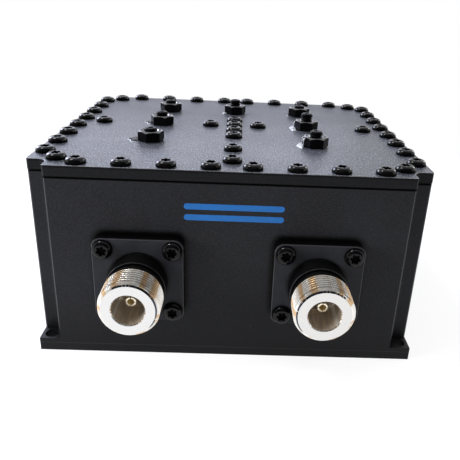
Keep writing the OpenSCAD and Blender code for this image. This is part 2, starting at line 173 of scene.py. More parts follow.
class ContactSizes(bpy.types.PropertyGroup):
    """Sizes of the slotted centre contacts."""

    width: length("Width", "Diameter of a contact", 2.9)
    bore_width: length("Bore width", "Diameter of its bore", 1.7)
    bore_depth: length("Bore depth", "Depth of its bore", 4.5)
    slot_width: length("Slot width", "Width of a slot", 0.16)
    slot_depth: length("Slot depth", "Length of a slot", 3.8)
    tip_round: length("Tip rounding", "Rounding at the tip", 0.2)


class BodySizes(bpy.types.PropertyGroup):
    """Corner notches and edge breaks of the housing and the cover."""

    notch_width: length("Notch width", "Width of a corner notch", 5.8)
    notch_depth: length("Notch depth", "Depth of a corner notch", 5.5)
    housing_break: length("Housing edge break", "Bevel on the housing's outer edges", 0.22)
    cover_break: length("Cover edge break", "Bevel on the cover's outer edges", 0.25)


class SealSizes(bpy.types.PropertyGroup):
    """Sizes of the sealing lacquer beside the lock nuts."""

    puddle_height: length("Puddle height", "Height of a lacquer puddle", 0.45)
    string_width: length("String width", "Diameter of a lacquer string", 0.55)


class StripeSizes(bpy.types.PropertyGroup):
    """Sizes of the two plain stripes printed on the front wall."""

    stripe_length: length("Stripe length", "Length of a stripe", 27.0)
    stripe_height: length("Stripe height", "Height of a stripe", 1.7)
    stripe_pitch: length("Stripe pitch", "Distance between the two stripes", 3.1)
    middle_height: length("Middle height", "Height of their middle above the floor", 45.6)
    ink: length("Ink thickness", "Thickness of the print", 0.04)


class FinishColours(bpy.types.PropertyGroup):
    """Colours of the finishes and of the small marks on them."""

    coat: colour("Black coat", "Coat of the housing", 0.0150, 0.0155, 0.0190)
    cover: colour("Cover coat", "Coat of the cover", 0.028, 0.031, 0.039)
    # Painted shade in the seams, under the cover's rim, round the flanges and low on the housing
    shade: colour("Shade", "Seams and the wall beside the flanges", 0.001, 0.001, 0.001)
    scuff: colour("Scuffs", "Scuffed coat of the housing", 0.075, 0.075, 0.08)
    scribed: colour("Scribed line", "Line low on the front wall", 0.07, 0.07, 0.08)
    wall_dust: colour("Wall dust", "Dust specks on the housing", 0.3, 0.3, 0.3)
    cover_dust: colour("Cover dust", "Dust specks on the cover", 0.75, 0.76, 0.8)
    # Painted highlight along the top edge of the cover
    rim: colour("Cover rim", "Rubbed rim of the cover", 0.30, 0.30, 0.31)
    screw: colour("Black screws", "Oxide of the small screws", 0.0025, 0.0025, 0.003)
    brown: colour("Brown oxide", "Oxide of the small screws where it is rubbed", 0.010, 0.007, 0.006)
    nut: colour("Black nuts", "Oxide of nuts and tuning screws", 0.002, 0.002, 0.0025)
    # Painted shade, near black, in the screws' recesses, under their heads and low on their domes
    recess: colour("Recess", "Oxide in the recesses and under the heads", 0.001, 0.001, 0.001)
    # Painted highlight: lighter tones for the nuts' upper chamfers and countersinks
    rubbed: colour("Rubbed oxide", "Oxide on the chamfers of the nuts", 0.02, 0.02, 0.022)
    bare: colour("Bare chamfer", "Chamfers of the nuts where the oxide is thin", 0.05, 0.05, 0.05)
    nickel: colour("Nickel", "Plating of the jack threads", 0.89, 0.87, 0.83)
    # Painted warm reflection on the threads, in blocks and patches
    tan_reflection: colour("Brassy nickel", "Thin plating in patches of the threads", 0.70, 0.47, 0.26)
    # Painted shade at the bottom of the thread
    valley_shade: colour("Thread valleys", "Bottom of the thread", 0.06, 0.055, 0.05)
    # Painted dark reflection on the upper, inner part of each jack's front chamfer
    arc: colour("Chamfer arc", "Dark arc round a jack's front", 0.05, 0.06, 0.085)
    ring: colour("Ring", "Plating of the front rings", 0.72, 0.715, 0.70)
    lip: colour("Lip", "Plating of the lip of a mouth", 0.95, 0.95, 0.92)
    fleck: colour("Flecks", "Brown flecks on the lip of a mouth", 0.45, 0.30, 0.17)
    tarnish: colour("Dull nickel", "Plating inside the mouths", 0.62, 0.54, 0.44)
    # Painted highlight: two bright streaks inside each mouth
    streak: colour("Bright streak", "Bright streaks inside the mouths", 1.0, 0.97, 0.92)
    gold: colour("Gold", "Plating in the bores of the contacts", 1.0, 0.82, 0.42)
    pale_gold: colour("Pale gold", "Worn plating on the outside of the contacts", 0.96, 0.88, 0.70)
    # Painted highlight on the edges of the black flange and boss
    worn: colour("Worn edge", "Rubbed edges of the black flange and boss", 0.036, 0.036, 0.040)
    corner: colour("Flange shade", "Sides of flanges and roots of bosses", 0.0012, 0.0012, 0.0014)
    silver: colour("Silver", "Plating of the resonator posts", 0.82, 0.82, 0.84)
    steel: colour("Steel", "Steel of the post screws", 0.50, 0.50, 0.52)
    copper: colour("Copper", "Copper of the tap wires", 0.75, 0.42, 0.25)
    insulator: colour("Insulator", "White plastic of the insulators", 0.86, 0.85, 0.82)
    # Light grey of the opaque lacquer and its strings; on the clear puddles' rims, a painted highlight
    lacquer: colour("Lacquer", "Dried edge and strings of the sealing lacquer", 0.36, 0.38, 0.42)
    pool: colour("Clear lacquer", "Black cover seen through the clear lacquer", 0.016, 0.017, 0.021)
    ink: colour("Blue ink", "Ink of the printed stripes", 0.013, 0.155, 0.50)


class StageSizes(bpy.types.PropertyGroup):
    """The floor and the lamps round the object."""

    floor_width: length("Floor width", "Width of the floor", 4000.0)
    shadow_reach: length("Shadow reach", "Radius within which the floor takes a shadow", 260.0)
    world: FloatProperty(
        name="World", description="Strength of the plain surroundings", default=0.62, min=0.0
    )
    back_lamp: power("Back lamp", "Power of the lamp behind", 1.3)
    top_lamp: power("Top lamp", "Power of the lamp above", 3.2)
    left_lamp: power("Left lamp", "Power of the lamp at the left", 7.0)
    side_lamp: power("Side lamp", "Power of the near left lamp", 2.6)
    right_lamp: power("Right lamp", "Power of the lamp at the right", 1.1)


class Sizes:
    """A property group read in millimetres."""

    def __init__(self, group):
        self._group = group

    def __getattr__(self, name):
        return getattr(self._group, name) / MM


class Surface:
    """Points, the faces of four and of three corners between them, and each face's paint number."""

    def __init__(self, points, quads, triangles, paints):
        self.points = points
        self.quads = quads
        self.triangles = triangles
        self.paints = paints

    def placed(self, turn, place):
        """The same surface turned by a matrix, which is no mirror, and moved to a place."""
        points = self.points @ np.asarray(turn).T + np.asarray(place)
        return Surface(points, self.quads, self.triangles, self.paints)


def skin(grid, foot=None, crown=None, bands=None):
    """The surface over a grid of points whose columns close round a ring.

    Rows run out over the foot, up the outside, in over the top and down any hole, which
    makes every face point outwards. Without a foot the last row joins the first, and
    otherwise a point closes the foot and another the crown. A row's band is the paint
    number of the faces after it.
    """
    rows, columns = grid.shape[:2]
    index = np.arange(rows * columns).reshape(rows, columns)
    low = index, np.roll(index, -1, axis=1)
    high = [np.roll(part, -1, axis=0) for part in low]
    bands = np.zeros(rows, int) if bands is None else np.asarray(bands)
    points = grid.reshape(-1, 3)
    if foot is None:
        quads = np.stack([*low, *high[::-1]], axis=-1).reshape(-1, 4)
        return Surface(points, quads, np.empty((0, 3), int), np.repeat(bands, columns))
    open_rows = [part[:-1] for part in (*low, *high[::-1])]
    quads = np.stack(open_rows, axis=-1).reshape(-1, 4)
    first = np.full(columns, rows * columns)
    after = low[1]
    ends = [
        np.stack([first, after[0], index[0]], axis=-1),
        np.stack([first + 1, index[-1], after[-1]], axis=-1),
    ]
    paints = np.repeat([*bands[: rows - 1], bands[0], bands[rows - 2]], columns)
    return Surface(np.concatenate([points, [foot, crown]]), quads, np.concatenate(ends), paints)


def spin(angle):
    """The matrix of a turn about +Z."""
    c, s = math.cos(angle), math.sin(angle)
    return np.array([[c, -s, 0.0], [s, c, 0.0], [0.0, 0.0, 1.0]])


def ring_angles(count):
    """Angles of that many columns, evenly spaced round one turn."""
    return np.linspace(0.0, TURN, count, endpoint=False)


def turned_grid(rows, angles):
    """Points of a turned form: x = r cos t, y = r sin t, z = h.

    A row is a radius r and a height h, and either may change with the angle t.
    """
    radius = np.stack([np.broadcast_to(r, angles.shape) for r, _ in rows])
    height = np.stack([np.broadcast_to(h, angles.shape) for _, h in rows])
    return np.stack([radius * np.cos(angles), radius * np.sin(angles), height], axis=-1)


def arc_rows(centre, middle, across, up, start, stop, count):
    """Rows on a quarter or other arc of an ellipse: r = centre + across cos a, h = middle + up sin a."""
    bends = np.linspace(math.radians(start), math.radians(stop), count)
    return [(centre + across * math.cos(a), middle + up * math.sin(a)) for a in bends]


class Profile:
    """The rows of a turned form, in the order that skin asks for, each with its paint number."""

    def __init__(self):
        self.rows = []
        self.bands = []

    def add(self, paint, *rows):
        """Adds rows, each a radius and a height, with the paint of the faces after them."""
        self.rows += rows
        self.bands += [paint] * len(rows)

    def turned(self, angles, foot=None, crown=None):
        """The turned surface, with its foot and its crown at those heights on the axis."""
        ends = [None if end is None else (0.0, 0.0, end) for end in (foot, crown)]
        return skin(turned_grid(self.rows, angles), *ends, self.bands)


def polygon_reach(angles, apothem, sides):
    """Distance from the centre to a regular polygon's side: apothem over the cosine of the
    angle to the middle of the nearest side."""
    step = TURN / sides
    return apothem / np.cos((angles + step / 2.0) % step - step / 2.0)


def square_reach(angles, half, corner):
    """Distance from the centre to a square with rounded corners.

    It is half over the larger of |cos t| and |sin t| on the flats. At a corner it is the
    farther place where the ray meets the corner's circle.
    """
    c, s = np.abs(np.cos(angles)), np.abs(np.sin(angles))
    flat = half / np.maximum(c, s)
    inner = half - corner
    along = inner * (c + s)
    bent = along + np.sqrt(np.maximum(along**2 - 2.0 * inner**2 + corner**2, 0.0))
    return np.where(flat * np.minimum(c, s) <= inner, flat, bent)


def lobe_reach(angles, width):
    """Distance from the centre to a six-lobe recess: a circle joined with six small ones.

    A ray meets a small circle at d cos t + sqrt(b^2 - d^2 sin^2 t), with t from its
    centre line, and the two distances are joined by a high power mean.
    """
    core, bulb = 0.36 * width, 0.15 * width
    out = width / 2.0 - bulb
    step = TURN / 6.0
    near = (angles + step / 2.0) % step - step / 2.0
    under = bulb**2 - (out * np.sin(near)) ** 2
    lobe = np.where(under > 0.0, out * np.cos(near) + np.sqrt(np.maximum(under, 0.0)), 0.0)
    power = 14.0
    return (core**power + lobe**power) ** (1.0 / power)


def thread_dip(angles, height, pitch, depth):
    """How far a thread's helix lies under its crest: depth ((1 - cos p) / 2)^0.85, where the
    phase p grows by one turn for each pitch of height and falls by one for each turn round."""
    flatness = 0.85
    phase = TURN * height / pitch - angles
    return depth * (0.5 - 0.5 * np.cos(phase)) ** flatness


def join(surfaces):
    """Several surfaces as one, each one's faces counted on from the one before."""
    starts = np.cumsum([0] + [len(s.points) for s in surfaces])
    points = np.concatenate([s.points for s in surfaces])
    quads = np.concatenate([s.quads + n for s, n in zip(surfaces, starts)])
    triangles = np.concatenate([s.triangles + n for s, n in zip(surfaces, starts)])
    quad_paints = [s.paints[: len(s.quads)] for s in surfaces]
    triangle_paints = [s.paints[len(s.quads) :] for s in surfaces]
    return Surface(points, quads, triangles, np.concatenate(quad_paints + triangle_paints))


def link(name, data):
    """A new object of that name in the scene."""
    made = bpy.data.objects.new(name, data)
    bpy.context.scene.collection.objects.link(made)
    return made


def add_piece(name, surface, paints, body, nodes=(), sharp=30.0):
    """Puts a surface into a mesh, shades it smooth but for edges over that many degrees, and
    rides it on a body."""
    mesh = bpy.data.meshes.new(name)
    faces = surface.quads.tolist() + surface.triangles.tolist()
    mesh.from_pydata((surface.points * MM).tolist(), [], faces)
    for paint in paints:
        mesh.materials.append(paint)
    mesh.polygons.foreach_set("material_index", surface.paints.astype(np.int32))
    mesh.polygons.foreach_set("use_smooth", np.ones(len(faces), bool))
    mesh.set_sharp_from_angle(angle=math.radians(sharp))
    mesh.update()
    return carry(link(name, mesh), body, nodes)


def carry(piece, body, nodes):
    """Rides a piece on its body and the CAD nodes that it stands for."""
    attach(piece, body)
    if nodes:
        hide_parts(*nodes)
    return piece


def node_points(node):
    """A CAD node's points at rest, in millimetres, and the point numbers of its edges."""
    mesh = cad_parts[node].data
    points = np.empty(len(mesh.vertices) * 3, np.float32)
    mesh.vertices.foreach_get("co", points)
    edges = np.empty(len(mesh.edges) * 2, np.int32)
    mesh.edges.foreach_get("vertices", edges)
    return points.reshape(-1, 3).astype(float) / MM, edges.reshape(-1, 2)


def solids_of(node):
    """Lowest and highest corners of each separate solid of a CAD node, in millimetres.

    Points at one place are one. Each then takes the lowest number among those that it
    shares an edge with, again and again, until each solid has a single number.
    """
    points, edges = node_points(node)
    grain = 0.01
    _, place = np.unique(np.round(points / grain).astype(np.int64), axis=0, return_inverse=True)
    place = place.reshape(-1)
    ends = place[edges]
    label = np.arange(place.max() + 1)
    while True:
        low = label[ends].min(axis=1)
        fresh = label.copy()
        np.minimum.at(fresh, ends[:, 0], low)
        np.minimum.at(fresh, ends[:, 1], low)
        fresh = fresh[fresh]
        if np.array_equal(fresh, label):
            break
        label = fresh
    owner = label[place]
    return [(points[owner == n].min(axis=0), points[owner == n].max(axis=0)) for n in np.unique(owner)]


def box_of(node):
    """A CAD node's lowest and highest corners and its middle, in millimetres."""
    low, high = (np.array(corner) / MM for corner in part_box(node))
    return low, high, (low + high) / 2.0


def foot_of(node):
    """The middle of a CAD node's foot and the node's height, in millimetres."""
    low, high, middle = box_of(node)
    return np.array([middle[0], middle[1], low[2]]), high[2] - low[2]


class Field:
    """A number in a material's nodes. Each operation written with it adds one Math node."""

    def __init__(self, paint, socket):
        self.paint = paint
        self.socket = socket

    def __add__(self, other):
        return self.paint.maths("ADD", self, other)

    __radd__ = __add__

    def __sub__(self, other):
        return self.paint.maths("SUBTRACT", self, other)

    def __rsub__(self, other):
        return self.paint.maths("SUBTRACT", other, self)

    def __mul__(self, other):
        return self.paint.maths("MULTIPLY", self, other)

    __rmul__ = __mul__

    def __truediv__(self, other):
        return self.paint.maths("DIVIDE", self, other)

    def __rtruediv__(self, other):
        return self.paint.maths("DIVIDE", other, self)

    def __pow__(self, other):
        return self.paint.maths("POWER", self, other)

    def __rpow__(self, other):
        return self.paint.maths("POWER", other, self)

    def __abs__(self):
        return self.paint.maths("ABSOLUTE", self)


class Paint:
    """The nodes of one material or of the world, added by kind."""

    def __init__(self, owner, empty=False):
        owner.use_nodes = True
        self.owner = owner
        self.tree = owner.node_tree
        self.place = None
        if empty:
            self.tree.nodes.clear()

    def node(self, kind, settings=None, inputs=None, output=0):
        """Adds a node: first its settings, then its sockets' values or links. Gives one output."""
        made = self.tree.nodes.new("ShaderNode" + kind)
        for name, value in (settings or {}).items():
            setattr(made, name, value)
        for key, value in (inputs or {}).items():
            self.feed(made.inputs[key], value)
        return Field(self, made.outputs[output])

    def feed(self, socket, value):
        """Links a field to a socket, or sets the socket's own value."""
        if isinstance(value, Field):
            self.tree.links.new(value.socket, socket)
        else:
            socket.default_value = value

    def maths(self, operation, *values):
        """One Math node on numbers or fields."""
        return self.node("Math", {"operation": operation}, dict(enumerate(values)))

    def most(self, value, *others):
        """The largest of several numbers or fields."""
        for other in others:
            value = self.maths("MAXIMUM", value, other)
        return value

    def times(self, first, second):
        """Two vectors multiplied part by part."""
        return self.node("VectorMath", {"operation": "MULTIPLY"}, {0: first, 1: second})

    def mix(self, share, first, second):
        """A colour that goes from the first to the second as the share goes from 0 to 1."""
        inputs = {0: share, 6: rgba(first), 7: rgba(second)}
        return self.node("Mix", {"data_type": "RGBA"}, inputs, 2)

    def fade(self, value, low, high, start=0.0, stop=1.0):
        """A smooth step from start to stop while the value goes from low to high."""
        inputs = {"Value": value, "From Min": low, "From Max": high, "To Min": start, "To Max": stop}
        return self.node("MapRange", {"interpolation_type": "SMOOTHSTEP"}, inputs)

    def before(self, value, low, high):
        """1 while the value is under low, falling smoothly to 0 at high."""
        return self.fade(value, low, high, 1.0, 0.0)

    def near(self, value, middle, reach):
        """1 where the value is at middle, falling smoothly to 0 at reach from it."""
        return self.before(abs(value - middle), 0.0, reach)

    def millimetres(self):
        """The place on the object in millimetres, from Object coordinates."""
        if self.place is None:
            metres = self.node("TexCoord", output="Object")
            self.place = self.times(metres, (1.0 / MM,) * 3)
        return self.place

    def axes(self):
        """The three parts of the place in millimetres."""
        parts = self.node("SeparateXYZ", inputs={0: self.millimetres()}).socket.node.outputs
        return [Field(self, part) for part in parts]

    def noise(self, grain, detail=3.0, rough=0.55, stretch=EVEN, at=None):
        """Cloudy noise from 0 to 1 whose grains are about that many millimetres wide."""
        spread = self.times(at or self.millimetres(), stretch)
        inputs = {"Vector": spread, "Scale": 1.0 / grain, "Detail": detail, "Roughness": rough}
        return self.node("TexNoise", inputs=inputs)

    def noise_over(self, first, second, detail, rough):
        """Cloudy noise over two numbers in place of the place on the object, with grains 1 wide."""
        place = self.node("CombineXYZ", inputs={0: first, 1: second, 2: 0.0})
        return self.noise(1.0, detail, rough, at=place)

    def specks(self, spacing, size):
        """Small round specks, one to a cell of that spacing, 1 inside and 0 outside."""
        inputs = {"Vector": self.millimetres(), "Scale": 1.0 / spacing}
        far = self.node("TexVoronoi", {"feature": "F1"}, inputs, "Distance")
        return self.before(far, size / spacing * 0.6, size / spacing)

    def relief(self, height, depth):
        """A normal bent by a height field, whose full swing is that many millimetres."""
        return self.node("Bump", inputs={"Height": height, "Strength": 1.0, "Distance": depth * MM})

    def finish(self, base, roughness, normal=None, gloss=None, metallic=None):
        """Feeds the Principled shader, whose specular level is the gloss, and gives the material."""
        shader = next(node for node in self.tree.nodes if node.type == "BSDF_PRINCIPLED")
        values = {
            "Base Color": rgba(base),
            "Roughness": roughness,
            "Normal": normal,
            "Specular IOR Level": gloss,
            "Metallic": metallic,
        }
        for name, value in values.items():
            if value is not None:
                self.feed(shader.inputs[name], value)
        return self.owner

    def show(self, kind, shader):
        """Sends a shader to a new output node of that kind."""
        output = self.tree.nodes.new("ShaderNodeOutput" + kind)
        self.tree.links.new(shader.socket, output.inputs["Surface"])


def rgba(value):
    """A colour as four numbers, or a field as it is."""
    return value if isinstance(value, Field) else (*tuple(value)[:3], 1.0)


def scaled(tone, by):
    """A colour made darker or lighter, with no part over 1."""
    return tuple(min(1.0, by * part) for part in tone)


def new_paint(name):
    """The nodes of a new material, with its Principled shader."""
    return Paint(bpy.data.materials.new(name))


def coat_parts(paint, tone, grit_width, pale, grain_stretch):
    """Bead-blasted and blackened aluminium: its grit, its mottled base and its uneven sheen."""
    grit = paint.noise(grit_width, 4.0, 0.62)
    clouds = paint.noise(17.0, 4.0, 0.6)
    smear = paint.noise(5.0, 3.0, 0.6, (0.35, 1.0, 1.0))
    grains = paint.fade(paint.noise(0.36, 2.0, 0.6, grain_stretch), 0.50, 0.64)
    light = tuple(pale * part + 0.003 for part in tone)
    base = paint.mix(paint.fade(clouds, 0.3, 0.7), scaled(tone, 0.72), tone)
    base = paint.mix(grains * 0.75, base, light)
    sheen = 0.16 * (clouds - 0.5) + 0.10 * (grit - 0.5) + 0.07 * (smear - 0.5)
    return grit, base, sheen


def jack_axis():
    """The jacks' distance from the middle plane and their height, in millimetres."""
    _, _, middle = box_of("input_contact")
    return abs(middle[0]), middle[2]


def jack_place(paint):
    """A place round the nearer jack's axis: u = x - a sign(x) and v = z - h, the radius
    sqrt(u^2 + v^2) and the height y along the axis."""
    aside, height = jack_axis()
    x, y, z = paint.axes()
    across = x - paint.maths("SIGN", x) * aside
    up = z - height
    return across, up, (across**2.0 + up**2.0) ** 0.5, y


def flange_distance(paint):
    """Distance from a flange's outline in millimetres: the length of (max(|u| - s, 0),
    max(|v| - s, 0)) less the corner radius, with u and v from the nearer jack's axis and s
    the half width less that radius."""
    sizes = Sizes(bpy.context.scene.filter_jacks)
    aside, height = jack_axis()
    x, _, z = paint.axes()
    straight = sizes.flange_width / 2.0 - sizes.flange_corner
    across = paint.most(abs(abs(x) - aside) - straight, 0.0)
    up = paint.most(abs(z - height) - straight, 0.0)
    return (across**2.0 + up**2.0) ** 0.5 - sizes.flange_corner


def housing_paint(name, colours):
    """The housing's black coat, with a faint scribed line low on the front, and painted shade in
    the seam under the cover, as a shadow round the flanges and growing towards the foot."""
    paint = new_paint(name)
    grit, base, sheen = coat_parts(paint, colours.coat, 0.22, 1.7, EVEN)
    _, y, z = paint.axes()
    front, rim = box_of("housing")[0][1], box_of("housing")[1][2]
    line_height, line_width, foot_shade_height = 2.6, 0.09, 24.0
    flange_shadow_start, flange_shadow_stop, wall_skin = 0.3, 1.9, 0.1
    seam_start, seam_full = rim - 0.58, rim - 0.5
    on_front = paint.before(y, front + wall_skin, front + 2.0 * wall_skin)
    line = paint.near(z, line_height, line_width) * on_front
    # Painted shade: the seam under the cover, a shadow round each flange, darker towards the foot
    seam = paint.fade(z, seam_start, seam_full)
    flange_shadow = paint.fade(flange_distance(paint), flange_shadow_start, flange_shadow_stop, 0.95, 0.0) * on_front
    foot = paint.fade(z, 0.0, foot_shade_height, 0.7, 0.0)
    scuffs = paint.fade(paint.noise(2.2, 5.0, 0.7, (1.0, 1.0, 3.0)), 0.66, 0.76)
    base = paint.mix(scuffs * 0.22, base, colours.scuff)
    base = paint.mix(paint.specks(6.0, 0.16) * 0.35, base, colours.wall_dust)
    base = paint.mix(paint.most(flange_shadow, foot, seam), base, colours.shade)
    base = paint.mix(line * 0.5, base, colours.scribed)
    roughness = 0.46 + sheen + 0.1 * scuffs + 0.5 * seam
    return paint.finish(base, roughness, paint.relief(grit - 1.6 * line, 0.012), gloss=0.17)


def cover_paint(name, colours):
    """The cover's coat on top: coarse grit, painted shade towards the rear that mostly hides the
    light grains there, dust specks, with a patch of them near the front right corner, and a
    painted highlight along the rim."""
    paint = new_paint(name)
    grit, base, sheen = coat_parts(paint, colours.cover, 0.42, 9.0, (1.0, 0.4, 1.0))
    x, y, z = paint.axes()
    top = box_of("cover")[1][2]
    patch_x, patch_y, patch_full, patch_end = 46.9, -25.2, 4.0, 9.0
    rear_shade_start, rear_shade_full = -30.0, 45.0
    rim_highlight_start, rim_highlight_full, rim_highlight_end = top - 0.20, top - 0.08, top - 0.02
    # Painted shade: the coat gets darker and plainer towards the rear
    back = paint.fade(y, rear_shade_start, rear_shade_full)
    # Painted highlight in a thin band just under the cover's top edge
    rim = paint.fade(z, rim_highlight_start, rim_highlight_full) * paint.before(z, rim_highlight_end, (rim_highlight_end + top) / 2.0)
    far = ((x - patch_x) ** 2.0 + (y - patch_y) ** 2.0) ** 0.5
    patch = paint.before(far, patch_full, patch_end)
    dust = paint.specks(2.6, 0.20) * patch + 0.5 * paint.specks(9.0, 0.16)
    base = paint.mix(0.2 + back * 0.6, base, colours.cover)
    base = paint.mix(paint.fade(dust, 0.1, 0.9) * 0.8, base, colours.cover_dust)
    base = paint.mix(rim * 0.35, base, colours.rim)
    roughness = 0.40 + sheen + 0.3 * dust + 0.12 * back
    return paint.finish(base, roughness, paint.relief(grit + 0.8 * dust, 0.026), gloss=0.45)


def cover_edge_paint(name, colours):
    """The cover's milled edge: level lines, and painted shade as a dark line under the rim and
    a dark foot at the seam.
    """
    paint = new_paint(name)
    _, _, z = paint.axes()
    foot, top = box_of("cover")[0][2], box_of("cover")[1][2]
    lines = paint.noise(0.5, 3.0, 0.6, (0.02, 0.02, 2.0))
    rough = 0.5 * lines + 0.5 * paint.noise(0.4, 3.0, 0.6)
    under_start, under_full, under_fade, under_end = (top - depth for depth in (0.75, 0.55, 0.34, 0.26))
    seam_full, seam_end = foot + 0.1, foot + 0.18
    # Painted shade: a dark line under the rim and a dark foot at the seam
    under = paint.fade(z, under_start, under_full) * paint.before(z, under_fade, under_end)
    seam = paint.before(z, seam_full, seam_end)
    dark, light = scaled(colours.coat, 0.4), scaled(colours.coat, 0.8)
    base = paint.mix(paint.fade(rough, 0.35, 0.65), dark, light)
    base = paint.mix(paint.most(0.8 * under, seam), base, colours.shade)
    roughness = 0.5 + 0.14 * (lines - 0.5) + 0.3 * seam
    return paint.finish(base, roughness, paint.relief(rough, 0.01), gloss=0.14)


def oxide_paint(name, colours, tone, roughness, gloss, rubbed_tone):
    """Oiled black oxide on steel: glossy, faintly mottled and of another tone where it is rubbed."""
    paint = new_paint(name)
    mottle = paint.noise(0.9, 4.0, 0.6)
    fine = paint.noise(0.12, 2.0, 0.5)
    rubbed = paint.fade(paint.noise(1.7, 3.0, 0.6), 0.52, 0.75)
    base = paint.mix(rubbed * 0.6, getattr(colours, tone), getattr(colours, rubbed_tone))
    roughness = roughness + 0.12 * (mottle - 0.5) + 0.05 * rubbed
    return paint.finish(base, roughness, paint.relief(0.7 * mottle + 0.3 * fine, 0.004), gloss=gloss)


def nickel_paint(name, colours):
    """Bright nickel plate on turned brass, with fine turning marks round the axis.

    Round the thread it goes from pale to a painted warm reflection in blocks and patches, and
    the valleys are dark with painted shade. The front chamfer has a painted dark reflection in
    an arc above and on the inner side, with pale ticks in it, and the lip of the mouth has
    small brown flecks.
    """
    paint = new_paint(name)
    across, up, radius, y = jack_place(paint)
    sizes = Sizes(bpy.context.scene.filter_jacks)
    front = box_of("housing")[0][1] - sizes.front_height
    crest, lip_end = sizes.thread_width / 2.0, sizes.mouth_width / 2.0 + 0.4
    face_full, face_end, chamfer_full, chamfer_end = (front + depth for depth in (0.01, 0.04, 0.32, 0.5))
    thread_start, thread_full = front + 1.0, front + 1.2
    valley_full, valley_end = crest - 0.5, crest - 0.15
    blocks, flecks, marks_per_mm = 2.6, 9.0, 9.0
    marks = paint.noise_over(radius * marks_per_mm, y * marks_per_mm, 3.0, 0.6)
    wide = paint.noise_over(across / radius * blocks, up / radius * blocks, 1.0, 0.5)
    fine = paint.noise_over(across / radius * flecks, up / radius * flecks, 1.0, 0.5)
    stain_and_reflection = paint.noise(3.2, 3.0, 0.55)
    on_face = paint.before(y, face_full, face_end)
    lip = paint.before(radius, lip_end - 0.1, lip_end)
    chamfer = (1.0 - on_face) * paint.before(y, chamfer_full, chamfer_end) * (1.0 - lip)
    valley_shade = paint.before(radius, valley_full, valley_end) * paint.fade(y, thread_start, thread_full)
    inward = jack_axis()[0] - abs(paint.axes()[0])
    upper = paint.fade((up + 0.9 * inward) / radius, -0.12, 0.15)
    between_ticks = paint.fade(fine + 0.12 * inward / radius, 0.42, 0.47)
    # Painted warm reflection in blocks round the thread, and in patches with the stains
    base = paint.mix(paint.fade(wide, 0.505, 0.615) * 0.95, colours.nickel, colours.tan_reflection)
    base = paint.mix(paint.fade(stain_and_reflection, 0.42, 0.78) * 0.3, base, colours.tan_reflection)
    # Painted shade in the valleys of the thread
    base = paint.mix(valley_shade * 0.75, base, colours.valley_shade)
    # Painted dark reflection on the chamfer's upper, inner side, with pale ticks left in it
    base = paint.mix(chamfer * upper * between_ticks, base, colours.arc)
    base = paint.mix(on_face, base, colours.ring)
    flecked = paint.mix(paint.fade(fine, 0.46, 0.52), colours.lip, colours.fleck)
    base = paint.mix(lip * (1.0 - on_face), base, flecked)
    roughness = 0.16 + 0.16 * marks + 0.06 * stain_and_reflection
    metallic = 0.8 + 0.2 * paint.most(on_face, chamfer)
    return paint.finish(base, roughness, paint.relief(marks, 0.006), metallic=metallic)


def mouth_paint(name, colours):
    """Duller nickel inside the mouth, with soft streaks along the axis and two painted highlights
    as bright streaks.
    """
    paint = new_paint(name)
    across, up, radius, y = jack_place(paint)
    bright, streak_reach, marks_per_mm = 0.0, 0.02, 5.0
    # Painted highlight in two bright streaks at fixed angles
    for turn in (math.radians(205.0), math.radians(325.0)):
        towards = (across * math.cos(turn) + up * math.sin(turn)) / radius
        bright = bright + paint.near(towards, 1.0, streak_reach)
    streaks = paint.noise(1.1, 3.0, 0.6, (1.0, 0.12, 1.0))
    marks = paint.noise_over(radius * marks_per_mm, y * marks_per_mm, 2.0, 0.5)
    base = paint.mix(paint.fade(streaks, 0.35, 0.7), colours.tarnish, scaled(colours.tarnish, 1.45))
    base = paint.mix(bright * 0.8, base, colours.streak)
    return paint.finish(base, 0.34 + 0.16 * marks, paint.relief(marks, 0.008), metallic=0.75)


def flange_paint(name, colours):
    """The black of flange and boss: smoother than the housing, with faint turning marks, and
    painted shade on the flange's sides and round the root of the boss."""
    paint = new_paint(name)
    _, _, radius, y = jack_place(paint)
    sizes = Sizes(bpy.context.scene.filter_jacks)
    face = box_of("housing")[0][1] - sizes.flange_height
    boss, marks_per_mm = sizes.boss_width / 2.0, 4.0
    marks = paint.noise_over(radius * marks_per_mm, y * marks_per_mm, 3.0, 0.6)
    grit = paint.noise(0.18, 3.0, 0.6)
    clouds = paint.noise(6.0, 3.0, 0.6)
    side_start, side_full, root_start, root_full = face + 0.3, face + 0.45, boss + 1.0, boss + 0.3
    side = paint.fade(y, side_start, side_full)
    root = paint.fade(radius, root_start, root_full)
    tone = scaled(colours.coat, 1.3)
    base = paint.mix(paint.fade(clouds, 0.35, 0.7), tone, scaled(tone, 1.4))
    # Painted shade on the flange's sides and round the root of the boss
    base = paint.mix(paint.most(side, root), base, colours.corner)
    roughness = 0.40 + 0.14 * (clouds - 0.5) + 0.08 * marks
    return paint.finish(base, roughness, paint.relief(0.6 * marks + 0.4 * grit, 0.008), gloss=0.16)


def plated_paint(name, colours, tone, roughness, grain, depth, stretch, metallic):
    """A plated or plain metal, or a plastic, with a fine grain, cloudy gloss and a duller tone
    in patches."""
    paint = new_paint(name)
    tone = getattr(colours, tone)
    fine = paint.noise(grain, 3.0, 0.6, stretch)
    clouds = paint.noise(grain * 14.0, 3.0, 0.55)
    base = paint.mix(paint.fade(clouds, 0.45, 0.8), tone, scaled(tone, 0.72))
    roughness = roughness + 0.14 * (fine - 0.5) + 0.14 * (clouds - 0.5)
    return paint.finish(base, roughness, paint.relief(fine, depth), metallic=metallic)


def ink_paint(name, colours):
    """Blue pad-printed ink, a little thin where the grit of the wall shows through."""
    paint = new_paint(name)
    grit = paint.noise(0.22, 4.0, 0.62)
    thin = paint.fade(paint.noise(0.5, 3.0, 0.6), 0.62, 0.80)
    base = paint.mix(paint.noise(6.0, 2.0, 0.5), scaled(colours.ink, 0.80), colours.ink)
    base = paint.mix(thin * 0.5, base, colours.coat)
    return paint.finish(base, 0.42 + 0.2 * (grit - 0.5), paint.relief(grit, 0.01), gloss=0.4)


